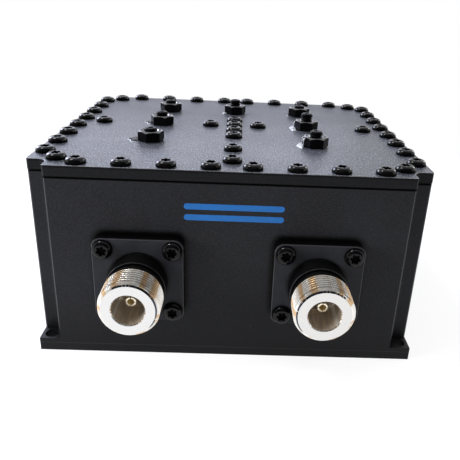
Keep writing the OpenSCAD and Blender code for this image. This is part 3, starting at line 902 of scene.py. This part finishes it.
# Each finish's maker and what it takes after the colours. For an oxide: tone, roughness,
# gloss and rubbed tone. For a plating: tone, roughness, grain and depth of the grain in
# millimetres, stretch and metallic share.
FINISHES = {
    "housing_coat": (housing_paint,),
    "cover_top": (cover_paint,),
    "cover_edge": (cover_edge_paint,),
    "screw_oxide": (oxide_paint, "screw", 0.06, 0.21, "brown"),
    # Painted shade in the screws' recesses, under their heads and low on their domes
    "recess_black": (oxide_paint, "recess", 0.5, 0.03, "nut"),
    "nut_oxide": (oxide_paint, "nut", 0.24, 0.035, "screw"),
    # Painted highlight on the upper chamfers and countersinks of the nuts
    "nut_chamfer": (oxide_paint, "rubbed", 0.16, 1.0, "bare"),
    "clear_lacquer": (oxide_paint, "pool", 0.08, 0.02, "cover"),
    "bright_nickel": (nickel_paint,),
    "mouth_nickel": (mouth_paint,),
    "jack_black": (flange_paint,),
    "gold": (plated_paint, "gold", 0.36, 0.10, 0.004, ALONG, 0.3),
    "pale_gold": (plated_paint, "pale_gold", 0.30, 0.10, 0.004, ALONG, 1.0),
    # Painted highlight on the edges of the flanges, the bosses and the thread's start
    "worn_edge": (plated_paint, "worn", 0.34, 0.20, 0.004, EVEN, 0.0),
    "silver": (plated_paint, "silver", 0.30, 0.20, 0.006, (0.2, 0.2, 4.0), 1.0),
    "steel": (plated_paint, "steel", 0.34, 0.16, 0.006, EVEN, 1.0),
    "copper": (plated_paint, "copper", 0.30, 0.14, 0.005, ALONG, 1.0),
    "insulator": (plated_paint, "insulator", 0.48, 0.30, 0.01, EVEN, 0.0),
    "dull_lacquer": (plated_paint, "lacquer", 0.25, 0.5, 0.01, EVEN, 0.0),
    "blue_ink": (ink_paint,),
}


def paint_for(name, colours):
    """The finish of that name, made once."""
    maker, *values = FINISHES[name]
    return bpy.data.materials.get(name) or maker(name, colours, *values)


def paints_for(context, *names):
    """The finishes of those names, in that order."""
    return [paint_for(name, context.scene.filter_colours) for name in names]


def edged_copy(node, name, paints, width, weight_of):
    """A copy of a CAD node with its loose triangles merged and a bevel on weighted edges.

    The weight of an edge comes from its two ends, and only edges that turn by more than
    a small angle have one. Upright faces take the last paint and the others the first.
    """
    flat_turn, least_turn, sharp_turn = (math.radians(turn) for turn in (0.4, 25.0, 30.0))
    merge_reach, upright = 1e-6, 0.5
    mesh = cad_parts[node].data.copy()
    mesh.name = name
    if "custom_normal" in mesh.attributes:
        mesh.attributes.remove(mesh.attributes["custom_normal"])
    mesh.materials.clear()
    for paint in paints:
        mesh.materials.append(paint)
    work = bmesh.new()
    work.from_mesh(mesh)
    bmesh.ops.remove_doubles(work, verts=work.verts, dist=merge_reach)
    bmesh.ops.dissolve_limit(work, angle_limit=flat_turn, verts=work.verts, edges=work.edges)
    weights = work.edges.layers.float.new("bevel_weight_edge")
    turning = [edge for edge in work.edges if edge.calc_face_angle(0.0) > least_turn]
    ends = np.array([[vertex.co[:] for vertex in edge.verts] for edge in turning]) / MM
    for edge, weight in zip(turning, weight_of(ends)):
        edge[weights] = weight
    for face in work.faces:
        face.material_index = len(paints) - 1 if abs(face.normal.z) < upright else 0
    work.to_mesh(mesh)
    work.free()
    mesh.polygons.foreach_set("use_smooth", np.ones(len(mesh.polygons), bool))
    mesh.set_sharp_from_angle(angle=sharp_turn)
    piece = link(name, mesh)
    bevel = piece.modifiers.new("edge_break", "BEVEL")
    bevel.width = width * MM
    bevel.segments = 2
    bevel.limit_method = "WEIGHT"
    bevel.harden_normals = True
    return carry(piece, BOX_BODY, (node,))


def outline_ends(ends, low, high, notch):
    """1 for edges on the outer outline in plan: both ends at a side or at a notch's walls."""
    inside, slack = 0.35, 0.05
    half = (high - low)[:2] / 2.0 - inside
    flat = np.abs(ends[..., :2] - (low + high)[:2] / 2.0)
    notch_wall = (flat > half + inside - notch - slack).all(axis=-1)
    side = (flat > half).any(axis=-1)
    return (side | notch_wall).all(axis=-1)


def button_screw(sizes, shank, columns=72):
    """A button-head screw, head up, with its seat at height 0, as a turned form.

    Rows: the shank, the head's underside, its rounded foot, a quarter of an ellipse for
    the dome, the flat, and the six-lobe recess with a rounded rim, whose radius is that
    of lobe_reach. Paint 0 is the head's, and paint 1 is painted shade, near black, in the
    recess, on the underside, on the foot and on the lowest rows of the dome.
    """
    angles = ring_angles(columns)
    oxide, shaded = 0, 1
    half, thin = sizes.head_width / 2.0, sizes.shank_width / 2.0
    flat, foot, top = sizes.flat_width / 2.0, sizes.edge_round, sizes.head_height
    side, floor = sizes.side_height, sizes.head_height - sizes.recess_depth
    point, rim = 0.4, 0.1
    recess = lobe_reach(angles, sizes.recess_width)
    dome = arc_rows(flat, side, half - flat, top - side, 0.0, 90.0, 12)
    rims = arc_rows(recess + rim, top - rim, rim, rim, 90.0, 180.0, 4)
    screw = Profile()
    screw.add(oxide, (thin - point, -shank), (thin, point - shank), (thin, -point))
    # Painted shade under the head, round its foot and low on its dome
    screw.add(shaded, (thin, 0.0), *arc_rows(half - foot, foot, foot, foot, -90.0, 0.0, 4), *dome[:2])
    screw.add(oxide, *dome[2:], (flat * 0.55 + (recess + rim) * 0.45, top), *rims[:-1])
    screw.add(shaded, rims[-1], (recess, floor + rim), (recess - 0.8 * rim, floor))
    screw.add(shaded, (recess * 0.5, floor - 0.5 * rim))
    return screw.turned(angles, -shank, floor - 1.5 * rim)


def lock_nut(sizes, height, columns=96):
    """A hexagon nut standing on height 0, with 30 degree chamfers and a countersunk hole.

    The side's radius is the hexagon's. Each chamfer starts at a circle inside the flats
    and meets the side where a cone through that circle does, lower at the corners.
    Paint 0 is the oxide and 1 a painted highlight on the upper chamfer and the countersink.
    """
    angles = ring_angles(columns)
    oxide, bright = 0, 1
    side = polygon_reach(angles, sizes.nut_across / 2.0, 6)
    hole, sink = sizes.nut_hole / 2.0, sizes.nut_sink
    face, soft = sizes.nut_across / 2.0 * 0.955, 0.09
    drop = (side - face) * math.tan(math.radians(30.0))
    nut = Profile()
    nut.add(oxide, (hole + sink, 0.0), (face, 0.0), (side, drop))
    # Painted highlight on the upper edge and chamfer, and on the countersink below
    nut.add(bright, (side, height - drop - soft), (side - 0.35 * soft, height - drop))
    nut.add(bright, (face + soft, height - soft * 0.75), (face - soft * 0.5, height - soft * 0.1))
    nut.add(oxide, (face - 2.0 * soft, height))
    nut.add(bright, (hole + sink, height), (hole + sink * 0.5, height - sink * 0.4))
    nut.add(oxide, (hole, height - sink), (hole, sink))
    return nut.turned(angles)


def set_screw(sizes, height, columns=48):
    """A headless screw standing on height 0, with a thread, a rounded end and a hexagon socket.

    The thread's dip fades out over half a pitch at the foot and at the rounded end.
    """
    angles = ring_angles(columns)
    radius, point = sizes.screw_width / 2.0, sizes.foot_chamfer
    flat, dome, pitch = sizes.end_flat / 2.0, sizes.end_round, sizes.thread_pitch
    top, floor, rim = height - dome, height - sizes.socket_depth, 0.08
    socket = polygon_reach(angles, sizes.socket_across / 2.0, 6)
    oxide, rows_per_turn, cone = 0, 6.0, 0.3
    screw = Profile()
    screw.add(oxide, (radius - point, 0.0))
    for h in np.linspace(point, top, int(rows_per_turn * (top - point) / pitch)):
        ease = min(1.0, max(0.0, min(h - point, top - h) / (0.5 * pitch)))
        screw.add(oxide, (radius - ease * thread_dip(angles, h, pitch, sizes.thread_depth), h))
    screw.add(oxide, *arc_rows(flat, top, radius - flat, dome, 12.0, 90.0, 7))
    screw.add(oxide, (socket + rim, height), (socket, height - rim), (socket, floor))
    return screw.turned(angles, 0.0, floor - cone)


def jack_shell(sizes, columns=160):
    """One turned shell: square flange, boss, relief groove, thread, ring face, mouth and seat.

    Column angles crowd at the flange's corners: t = u + k sin(4 u) / 4. The thread's radius
    is its crest less the helix's dip, and never more than the front chamfer's cone.
    Paint 0 is black, 1 bright nickel, 2 the mouth's nickel and 3 a painted highlight on edges.
    """
    even = ring_angles(columns)
    crowd = 0.5
    angles = even + crowd * np.sin(4.0 * even) / 4.0
    half, edge = sizes.flange_width / 2.0, sizes.flange_break
    flange = square_reach(angles, half, sizes.flange_corner)
    inner_flange = square_reach(angles, half - edge, sizes.flange_corner - edge * 0.5)
    boss, groove, crest = sizes.boss_width / 2.0, sizes.groove_width / 2.0, sizes.thread_width / 2.0
    seat, line, mouth = sizes.seat_width / 2.0, sizes.line_width / 2.0, sizes.mouth_width / 2.0
    plate, front, lip = sizes.flange_height, sizes.front_height, sizes.mouth_break
    boss_top, start, shoulder = sizes.boss_height, sizes.groove_height, sizes.mouth_floor
    chamfer, root, soft, undercut = sizes.front_chamfer, 0.4, 0.1, 0.15
    black, bright, dull, worn = 0, 1, 2, 3
    shell = Profile()
    shell.add(black, (seat, 0.0), (inner_flange, 0.0), (flange, edge))
    # Painted highlight on the flange's front edge, the boss's front edge and the thread's start
    shell.add(worn, (flange, plate - edge))
    shell.add(black, (inner_flange, plate), (boss + 2.0 * root, plate))
    shell.add(black, *arc_rows(boss + root, plate + root, -root, -root, 90.0, 0.0, 5))
    shell.add(worn, (boss, boss_top - edge * 0.5))
    shell.add(black, (boss - edge * 0.5, boss_top), (groove, boss_top), (groove, start - undercut))
    rows_per_turn, run_out, highlight_from, highlight_to = 24, 0.35, 0.2, 0.45
    turns = (front - start) / sizes.thread_pitch
    for h in np.linspace(start, front, int(rows_per_turn * turns)):
        rise = np.clip((h - start) / run_out, 0.0, 1.0)
        dip = thread_dip(angles, h, sizes.thread_pitch, sizes.thread_depth)
        drawn_in = max(0.0, h - sizes.thread_height) / (front - sizes.thread_height)
        radius = np.minimum(groove + (crest - dip - groove) * rise, crest - chamfer * drawn_in)
        coat = black if h < sizes.black_height else bright
        shell.add(worn if highlight_from < h - start < highlight_to else coat, (radius, h))
    ring = (mouth + lip) * 0.5 + (crest - chamfer) * 0.5
    shell.add(bright, (crest - chamfer - 0.08, front), (ring, front), (mouth + lip, front))
    shell.add(dull, (mouth, front - lip))
    shell.add(dull, *[(mouth, h) for h in np.linspace(front - lip - 0.4, shoulder + soft, 8)])
    shell.add(dull, (mouth - soft, shoulder), (line + soft, shoulder), (line, shoulder - soft))
    shell.add(dull, (line, sizes.line_floor), (seat, sizes.line_floor))
    return shell.turned(angles)


def centre_contact(sizes, tail, tip):
    """A slotted centre contact from its tail to its tip.

    The height of the open end is the tip's, less the slot's depth at four narrow groups of
    columns, and everything above that height at such a column is drawn down to it.
    Paint 0 is the outside and 1 the bore.
    """
    outside, inside = 0, 1
    radius, bore = sizes.width / 2.0, sizes.bore_width / 2.0
    half_slot = math.asin(sizes.slot_width / 2.0 / ((radius + bore) / 2.0))
    slots, hair = 4, math.radians(0.4)
    step = TURN / slots
    between = np.linspace(half_slot + hair, step - half_slot - hair, 11)
    across = np.array([-half_slot + hair, 0.0, half_slot - hair])
    one = np.concatenate([across, between])
    angles = np.concatenate([one + k * step for k in range(slots)])
    in_slot = np.tile(np.arange(len(one)) < len(across), slots)
    end = np.where(in_slot, tip - sizes.slot_depth, tip)
    soft, floor = sizes.tip_round, tip - sizes.bore_depth
    corner, cone = 0.1, 0.3
    waist = tip - sizes.slot_depth - soft
    contact = Profile()
    contact.add(outside, (radius - soft, tail), (radius, tail + soft), (radius, waist))
    contact.add(outside, (radius, end - soft), (radius - soft * 0.3, end - soft * 0.3))
    contact.add(outside, (radius - soft, end), (bore + soft * 0.5, end))
    contact.add(inside, (bore, end - soft * 0.5), (bore, floor + corner), (bore - corner, floor))
    return contact.turned(angles, tail, floor - cone)


def puddle(half_x, half_y, height, tip, seed, clear, columns=56):
    """A drop that lies flat: radius and thickness over an angle and a share of the way out.

    Its outline is an ellipse times 1 plus small waves, drawn out to a point at the left.
    Its thickness is the height times the root of 1 less the share's fourth power, with
    a ripple over x and y. A clear one has paint 1 inside its rim, and the rest is paint 0,
    which on a clear one's rim is a painted highlight.
    """
    angles = ring_angles(columns)
    shift = np.random.default_rng(seed).uniform(0.0, TURN, 3)
    waves = 0.10 * np.sin(2.0 * angles + shift[0]) + 0.07 * np.sin(3.0 * angles + shift[1])
    waves += 0.04 * np.sin(5.0 * angles + shift[2])
    point_width, sunk, rim_share = 0.28, 0.01, 0.96
    outline = 1.0 + waves + tip * np.exp(-(((angles - math.pi) / point_width) ** 2))
    shares = np.cos(np.linspace(0.0, math.pi / 2.0, 12, endpoint=False))
    thick = height * (1.0 - shares**4) ** 0.5
    x = half_x * outline * np.cos(angles) * shares[:, None]
    y = half_y * outline * np.sin(angles) * shares[:, None]
    ripple = 1.0 + 0.12 * np.sin(2.0 * x + shift[0]) * np.sin(2.3 * y + shift[1])
    grid = np.stack([x, y, thick[:, None] * ripple - sunk], axis=-1)
    # The rim of a clear puddle keeps paint 0 as a painted highlight
    bands = np.where(clear & (shares < rim_share), 1, 0)
    return skin(grid, (0.0, 0.0, -sunk), (0.0, 0.0, height - sunk), bands)


def string(path, width, columns=16):
    """A thin string of lacquer along a path: path + r (n cos t + m sin t), with n and m across
    the path and r swelling at both ends and in the middle, and rounded off at the tips."""
    path = np.asarray(path, float)
    rows, smoothings, aside = 40, 6, (0.31, 0.95, 0.05)
    mean, swell, taper, blunt, tip = 0.75, 0.35, 8.0, 0.02, 0.02
    share = np.linspace(0.0, len(path) - 1.0, rows)
    knots = np.arange(len(path))
    line = np.stack([np.interp(share, knots, path[:, k]) for k in range(3)], axis=-1)
    for _ in range(smoothings):
        line[1:-1] = (line[:-2] + 2.0 * line[1:-1] + line[2:]) / 4.0
    along = np.gradient(line, axis=0)
    along /= np.linalg.norm(along, axis=1, keepdims=True)
    across = np.cross(along, aside)
    across /= np.linalg.norm(across, axis=1, keepdims=True)
    other = np.cross(along, across)
    way = np.linspace(0.0, 1.0, rows)
    ends = np.minimum(1.0, taper * (way + blunt)) * np.minimum(1.0, taper * (1.0 + blunt - way))
    radius = width / 2.0 * (mean + swell * np.cos(2.0 * TURN * way)) * ends
    angles = ring_angles(columns)
    turn = across[:, None] * np.cos(angles)[:, None] + other[:, None] * np.sin(angles)[:, None]
    grid = line[:, None] + radius[:, None, None] * turn
    return skin(grid, line[0] - tip * along[0], line[-1] + tip * along[-1])


def flat_bar(half_x, half_y, thick, steps=9):
    """A thin bar with round ends, lying on height 0: each column is a place on the outline of
    two half circles joined by straight sides, and the rows are its foot, edge and top."""
    sunk = 0.02
    bends = np.linspace(-math.pi / 2.0, math.pi / 2.0, steps)
    angles = np.concatenate([bends, bends + math.pi])
    middle = np.repeat([1.0, -1.0], steps) * (half_x - half_y)
    spans = [(half_y, -sunk), (half_y, thick * 0.6), (half_y - thick * 0.4, thick)]
    rows = [
        np.stack([middle + r * np.cos(angles), r * np.sin(angles), np.full(angles.shape, h)], axis=-1)
        for r, h in spans
    ]
    return skin(np.stack(rows), (0.0, 0.0, -sunk), (0.0, 0.0, thick))


class FILTER_OT_body(bpy.types.Operator):
    """Breaks the outer edges of the housing and the cover, and coats them"""

    bl_idname = "filter.body"
    bl_label = "Housing and Cover"

    def execute(self, context):
        sizes = Sizes(context.scene.filter_body)
        low, high, _ = box_of("housing")
        cover_low, cover_high, cover_middle = box_of("cover")
        notch = np.array([sizes.notch_width, sizes.notch_depth])
        seam_room, cover_room, lower_weight = 0.6, 0.1, 0.3

        def housing_weight(ends):
            below_seam = (ends[..., 2] < high[2] - seam_room).any(axis=-1)
            return (outline_ends(ends, low, high, notch) & below_seam).astype(float)

        def cover_weight(ends):
            on_outline = outline_ends(ends, cover_low, cover_high, notch + cover_room)
            lower = (ends[..., 2] < cover_middle[2]).all(axis=-1)
            return np.where(on_outline, np.where(lower, lower_weight, 1.0), 0.0)

        coats = paints_for(context, "housing_coat")
        edged_copy("housing", "housing_body", coats, sizes.housing_break, housing_weight)
        coats = paints_for(context, "cover_top", "cover_edge")
        edged_copy("cover", "cover_plate", coats, sizes.cover_break, cover_weight)
        return {"FINISHED"}


class FILTER_OT_screws(bpy.types.Operator):
    """Builds the button-head screws of the cover and the flanges"""

    bl_idname = "filter.screws"
    bl_label = "Small Screws"

    def execute(self, context):
        sizes = Sizes(context.scene.filter_screws)
        paints = paints_for(context, "screw_oxide", "recess_black")
        for row in COVER_ROWS:
            self.add_row(f"cover_screws_{row}", UPRIGHT, 2, sizes, paints)
        for side in JACKS:
            self.add_row(f"{side}_flange_screws", FACING_FRONT, 1, sizes, paints)
        return {"FINISHED"}

    def add_row(self, node, turn, axis, sizes, paints):
        """One screw in the place of each solid of the node, each spun by its own angle."""
        screws = []
        for count, (low, high) in enumerate(solids_of(node)):
            place = (low + high) / 2.0
            outer = high[2] if axis == 2 else low[1]
            place[axis] = outer - turn[axis, 2] * sizes.head_height
            screw = button_screw(sizes, (high - low)[axis] - sizes.head_height)
            screws.append(screw.placed(turn @ spin(SCREW_SPIN * count), place))
        add_piece(f"{node}_heads", join(screws), paints, BOX_BODY, (node,))


class FILTER_OT_tuners(bpy.types.Operator):
    """Builds the tuning and coupling screws with their lock nuts"""

    bl_idname = "filter.tuners"
    bl_label = "Tuning Screws and Nuts"

    def execute(self, context):
        sizes = Sizes(context.scene.filter_tuners)
        paints = paints_for(context, "nut_oxide", "nut_chamfer")
        for nut, screw, body in TUNERS:
            foot, height = foot_of(nut)
            solid = lock_nut(sizes, height).placed(self.nut_turn(nut, foot), foot)
            add_piece(f"{nut}_body", solid, paints, BOX_BODY, (nut,))
            foot, height = foot_of(screw)
            solid = set_screw(sizes, height).placed(UPRIGHT, foot)
            add_piece(f"{screw}_body", solid, paints, body, (screw,), sharp=40.0)
        return {"FINISHED"}

    def nut_turn(self, nut, foot):
        """The turn of a CAD nut, from the corner of its hexagon that is farthest out."""
        points, _ = node_points(nut)
        flat = points[:, :2] - foot[:2]
        corner = flat[np.argmax(np.hypot(flat[:, 0], flat[:, 1]))]
        return spin(math.atan2(corner[1], corner[0]) - TURN / 12.0)


class FILTER_OT_jacks(bpy.types.Operator):
    """Builds the two jack shells and their centre contacts"""

    bl_idname = "filter.jacks"
    bl_label = "Jacks"

    def execute(self, context):
        sizes = Sizes(context.scene.filter_jacks)
        contact_sizes = Sizes(context.scene.filter_contacts)
        paints = paints_for(context, "jack_black", "bright_nickel", "mouth_nickel", "worn_edge")
        golds = paints_for(context, "pale_gold", "gold")
        for side in JACKS:
            shell, contact = f"{side}_jack_shell", f"{side}_contact"
            _, high, middle = box_of(shell)
            wall = np.array([middle[0], high[1], middle[2]])
            solid = jack_shell(sizes).placed(FACING_FRONT, wall)
            add_piece(f"{shell}_turned", solid, paints, BOX_BODY, (shell,), sharp=42.0)
            low, high, _ = box_of(contact)
            solid = centre_contact(contact_sizes, wall[1] - high[1], wall[1] - low[1])
            solid = solid.placed(FACING_FRONT, wall)
            add_piece(f"{contact}_slotted", solid, golds, BOX_BODY, (contact,))
        return {"FINISHED"}


class FILTER_OT_seals(bpy.types.Operator):
    """Builds the lacquer dabs that seal the lock nuts"""

    bl_idname = "filter.seals"
    bl_label = "Sealing Lacquer"

    # Offset from the nut and half lengths in millimetres, share of the full height and of a point
    PUDDLES = {
        "tuning_nut_1": [(-4.9, 0.2, 1.6, 2.8, 0.9, 0.6)],
        "coupling_nut_12": [(-4.5, 1.4, 1.3, 2.2, 0.9, 0.5)],
        "coupling_nut_23": [(-3.9, -1.4, 0.7, 0.8, 0.9, 0.3)],
        "tuning_nut_3": [(-3.9, 0.0, 0.7, 1.2, 0.8, 0.2)],
        "coupling_nut_34": [(-4.3, 1.0, 1.2, 2.6, 1.1, 0.3), (-4.2, -2.3, 0.9, 1.2, 0.9, 0.3)],
        "tuning_nut_4": [(-4.4, -0.3, 1.0, 2.6, 1.2, 0.5), (-3.9, 2.2, 0.9, 1.0, 0.9, 0.2)],
    }
    CLEAR = ("tuning_nut_1", "coupling_nut_12", "tuning_nut_3")
    # Points of each string from the nut's top down to the cover, as offsets from the nut's foot
    STRINGS = {
        "coupling_nut_12": [[(-3.2, 1.9, 3.0), (-3.75, 2.2, 1.7), (-4.1, 2.3, 0.1)]],
        "coupling_nut_34": [[(-3.0, 1.4, 3.3), (-3.85, 1.6, 2.0), (-4.2, 1.8, 0.1)]],
        "tuning_nut_4": [
            [(-2.8, 1.9, 3.3), (-3.8, 1.7, 2.2), (-4.1, 1.5, 0.1)],
            [(-2.5, -1.0, 3.3), (-3.75, -1.0, 2.4), (-4.0, -1.3, 0.1)],
        ],
    }

    def execute(self, context):
        sizes = Sizes(context.scene.filter_seals)
        paints = paints_for(context, "dull_lacquer", "clear_lacquer")
        for seed, (nut, drops) in enumerate(self.PUDDLES.items()):
            foot, _ = foot_of(nut)
            surfaces = []
            for dx, dy, half_x, half_y, share, tip in drops:
                drop = puddle(half_x, half_y, sizes.puddle_height * share, tip, seed, nut in self.CLEAR)
                surfaces.append(drop.placed(UPRIGHT, foot + (dx, dy, 0.0)))
            for path in self.STRINGS.get(nut, []):
                surfaces.append(string(np.array(path) + foot, sizes.string_width))
            add_piece(f"{nut}_seal", join(surfaces), paints, BOX_BODY, sharp=80.0)
        return {"FINISHED"}


class FILTER_OT_stripes(bpy.types.Operator):
    """Builds the two plain blue stripes on the front wall"""

    bl_idname = "filter.stripes"
    bl_label = "Printed Stripes"

    def execute(self, context):
        sizes = Sizes(context.scene.filter_stripes)
        wall = box_of("housing")[0][1]
        bar = flat_bar(sizes.stripe_length / 2.0, sizes.stripe_height / 2.0, sizes.ink)
        middle_x, shift = 1.0, sizes.stripe_pitch / 2.0
        heights = (sizes.middle_height - shift, sizes.middle_height + shift)
        bars = [bar.placed(FACING_FRONT, (middle_x, wall, height)) for height in heights]
        add_piece("front_stripes", join(bars), paints_for(context, "blue_ink"), BOX_BODY)
        return {"FINISHED"}


class FILTER_OT_inner(bpy.types.Operator):
    """Gives the inner pieces that keep their shape their finishes"""

    bl_idname = "filter.inner"
    bl_label = "Inner Pieces"

    def execute(self, context):
        finishes = {}
        for number in (1, 2, 3, 4):
            finishes[f"resonator_{number}"] = "silver"
            finishes[f"resonator_screw_{number}"] = "steel"
        for side in JACKS:
            finishes[f"{side}_insulator"] = "insulator"
            finishes[f"{side}_tap_wire"] = "copper"
        for node, name in finishes.items():
            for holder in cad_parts[node].material_slots:
                holder.material = paint_for(name, context.scene.filter_colours)
        return {"FINISHED"}


class FILTER_OT_stage(bpy.types.Operator):
    """Sets up the floor, the surroundings, the lamps and the camera"""

    bl_idname = "filter.stage"
    bl_label = "Studio"

    COOL, PLAIN = (0.72, 0.76, 1.0), (1.0, 1.0, 1.0)
    # Place and size in millimetres, tint and whether reflections show it
    LAMPS = {
        "back_lamp": ((-220.0, 620.0, 335.0), (900.0, 260.0), COOL, True),
        "top_lamp": ((-400.0, 60.0, 820.0), (200.0, 200.0), PLAIN, True),
        "left_lamp": ((-620.0, 480.0, 380.0), (380.0, 380.0), COOL, True),
        "side_lamp": ((-420.0, -200.0, 160.0), (200.0, 200.0), PLAIN, False),
        "right_lamp": ((600.0, 480.0, 370.0), (240.0, 240.0), PLAIN, True),
    }
    LAMP_AIM = (0.0, 0.0, 40.0)
    # Focal length and shift, place in millimetres and turn in degrees, fitted to the photograph
    FOCAL_LENGTH, SHIFT = 42.663, (-0.04023, -0.01459)
    CAMERA_PLACE, CAMERA_TURN = (1.009, -185.723, 99.859), (67.190, -2.402, -0.654)

    def execute(self, context):
        scene = context.scene
        stage = scene.filter_stage
        scene.view_settings.view_transform = "Standard"
        self.add_floor(Sizes(stage))
        self.add_world(scene, stage.world)
        for name, values in self.LAMPS.items():
            self.add_lamp(name, getattr(stage, name), *values)
        self.add_card()
        self.add_camera(scene)
        return {"FINISHED"}

    def add_sheet(self, name, corners, material):
        """A flat sheet of the stage from its four corners in millimetres."""
        mesh = bpy.data.meshes.new(name)
        mesh.from_pydata((np.array(corners) * MM).tolist(), [], [(0, 1, 2, 3)])
        mesh.materials.append(material)
        sheet = link(name, mesh)
        sheet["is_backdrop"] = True
        return sheet

    def add_card(self):
        """A dark card behind the camera, which only reflections see."""
        low, high, near, far, wide = 10.0, 1500.0, -620.0, -400.0, 1500.0
        corners = [(-wide, near, low), (wide, near, low), (wide, far, high), (-wide, far, high)]
        near_black, dull = (0.02, 0.02, 0.02), 1.0
        paint = new_paint("dark_card").finish(near_black, dull)
        card = self.add_sheet("dark_card", corners, paint)
        card.visible_camera = False
        card.visible_diffuse = False
        card.visible_shadow = False

    def add_floor(self, sizes):
        """A plain floor that takes a soft shadow near the object and is white farther out."""
        half, under = sizes.floor_width / 2.0, -0.02
        seen_grey, hidden_grey = (0.30, 0.30, 0.305, 1.0), (0.30, 0.30, 0.31, 1.0)
        glow_strength, full_shadow = 0.80, 0.45
        square = np.array([(-1.0, -1.0, 0.0), (1.0, -1.0, 0.0), (1.0, 1.0, 0.0), (-1.0, 1.0, 0.0)])
        corners = square * half + (0.0, 0.0, under)
        paint = Paint(bpy.data.materials.new("pale_floor"), empty=True)
        x, y, _ = paint.axes()
        plain = paint.node("BsdfDiffuse", inputs={"Color": seen_grey})
        glow = paint.node("Emission", inputs={"Color": WHITE, "Strength": glow_strength})
        shaded = paint.node("AddShader", inputs={0: plain, 1: glow})
        white = paint.node("Emission", inputs={"Color": WHITE, "Strength": 1.0})
        away, reach = (x**2.0 + y**2.0) ** 0.5, sizes.shadow_reach
        far = paint.fade(away, reach * full_shadow, reach)
        seen = paint.node("MixShader", inputs={0: far, 1: shaded, 2: white})
        hidden = paint.node("BsdfDiffuse", inputs={"Color": hidden_grey})
        last = paint.node("MixShader", inputs={0: self.pale_rays(paint), 1: hidden, 2: seen})
        paint.show("Material", last)
        self.add_sheet("floor", corners, paint.owner)

    def pale_rays(self, paint):
        """1 for camera, glossy and transmission rays, and 0 for the others."""
        rays = paint.tree.nodes.new("ShaderNodeLightPath").outputs
        names = ("Is Camera Ray", "Is Glossy Ray", "Is Transmission Ray")
        return paint.most(*(Field(paint, rays[name]) for name in names))

    def add_world(self, scene, strength):
        """Plain grey surroundings that look white to the camera and in reflections."""
        scene.world = bpy.data.worlds.new("surroundings")
        paint = Paint(scene.world, empty=True)
        grey = paint.node("Background", inputs={"Color": WHITE, "Strength": strength})
        white = paint.node("Background", inputs={"Color": WHITE, "Strength": 1.0})
        last = paint.node("MixShader", inputs={0: self.pale_rays(paint), 1: grey, 2: white})
        paint.show("World", last)

    def add_lamp(self, name, watts, place, size, tint, in_reflections):
        """A soft rectangular lamp aimed at the middle of the object."""
        lamp = bpy.data.lights.new(name, "AREA")
        lamp.shape = "RECTANGLE"
        lamp.size, lamp.size_y = (side * MM for side in size)
        lamp.energy = watts
        lamp.color = tint
        holder = link(name, lamp)
        holder.location = [part * MM for part in place]
        aim = Vector(self.LAMP_AIM) * MM - holder.location
        holder.rotation_euler = aim.to_track_quat("-Z", "Y").to_euler()
        holder.visible_camera = False
        holder.visible_glossy = in_reflections

    def add_camera(self, scene):
        """The camera at the photograph's place and angle."""
        lens = bpy.data.cameras.new("camera")
        lens.lens = self.FOCAL_LENGTH
        lens.shift_x, lens.shift_y = self.SHIFT
        lens.clip_start = 0.01
        lens.clip_end = 20.0
        camera = link("camera", lens)
        camera.location = [part * MM for part in self.CAMERA_PLACE]
        camera.rotation_euler = [math.radians(turn) for turn in self.CAMERA_TURN]
        scene.camera = camera


class FILTER_PT_panel(bpy.types.Panel):
    """Lists the filter's pieces and their sizes"""

    bl_label = "Cavity Filter"
    bl_idname = "FILTER_PT_panel"
    bl_space_type = "VIEW_3D"
    bl_region_type = "UI"
    bl_category = "Filter"

    def draw(self, context):
        for operator in OPERATORS:
            self.layout.operator(operator.bl_idname)
        for name in GROUPS:
            box = self.layout.box()
            group = getattr(context.scene, name)
            for key in group.bl_rna.properties.keys():
                if key not in ("rna_type", "name"):
                    box.prop(group, key)


GROUPS = {
    "filter_body": BodySizes,
    "filter_screws": ScrewSizes,
    "filter_tuners": TunerSizes,
    "filter_jacks": JackSizes,
    "filter_contacts": ContactSizes,
    "filter_seals": SealSizes,
    "filter_stripes": StripeSizes,
    "filter_colours": FinishColours,
    "filter_stage": StageSizes,
}
OPERATORS = (
    FILTER_OT_stage,
    FILTER_OT_body,
    FILTER_OT_screws,
    FILTER_OT_tuners,
    FILTER_OT_jacks,
    FILTER_OT_seals,
    FILTER_OT_stripes,
    FILTER_OT_inner,
)


def register():
    """Registers the classes and hangs the property groups on the scene."""
    for kind in (*GROUPS.values(), *OPERATORS, FILTER_PT_panel):
        bpy.utils.register_class(kind)
    for name, group in GROUPS.items():
        setattr(bpy.types.Scene, name, PointerProperty(type=group))


def unregister():
    """Takes the property groups and the classes away again."""
    for name in GROUPS:
        delattr(bpy.types.Scene, name)
    for kind in reversed((*GROUPS.values(), *OPERATORS, FILTER_PT_panel)):
        bpy.utils.unregister_class(kind)


def corners():
    """The shown object's lowest and highest corners as plain lists."""
    return [list(corner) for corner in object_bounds()]


def main():
    """Builds everything in order."""
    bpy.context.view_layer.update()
    register()
    for group, step in (operator.bl_idname.split(".") for operator in OPERATORS):
        getattr(getattr(bpy.ops, group), step)()


if __name__ == "__main__":
    main()
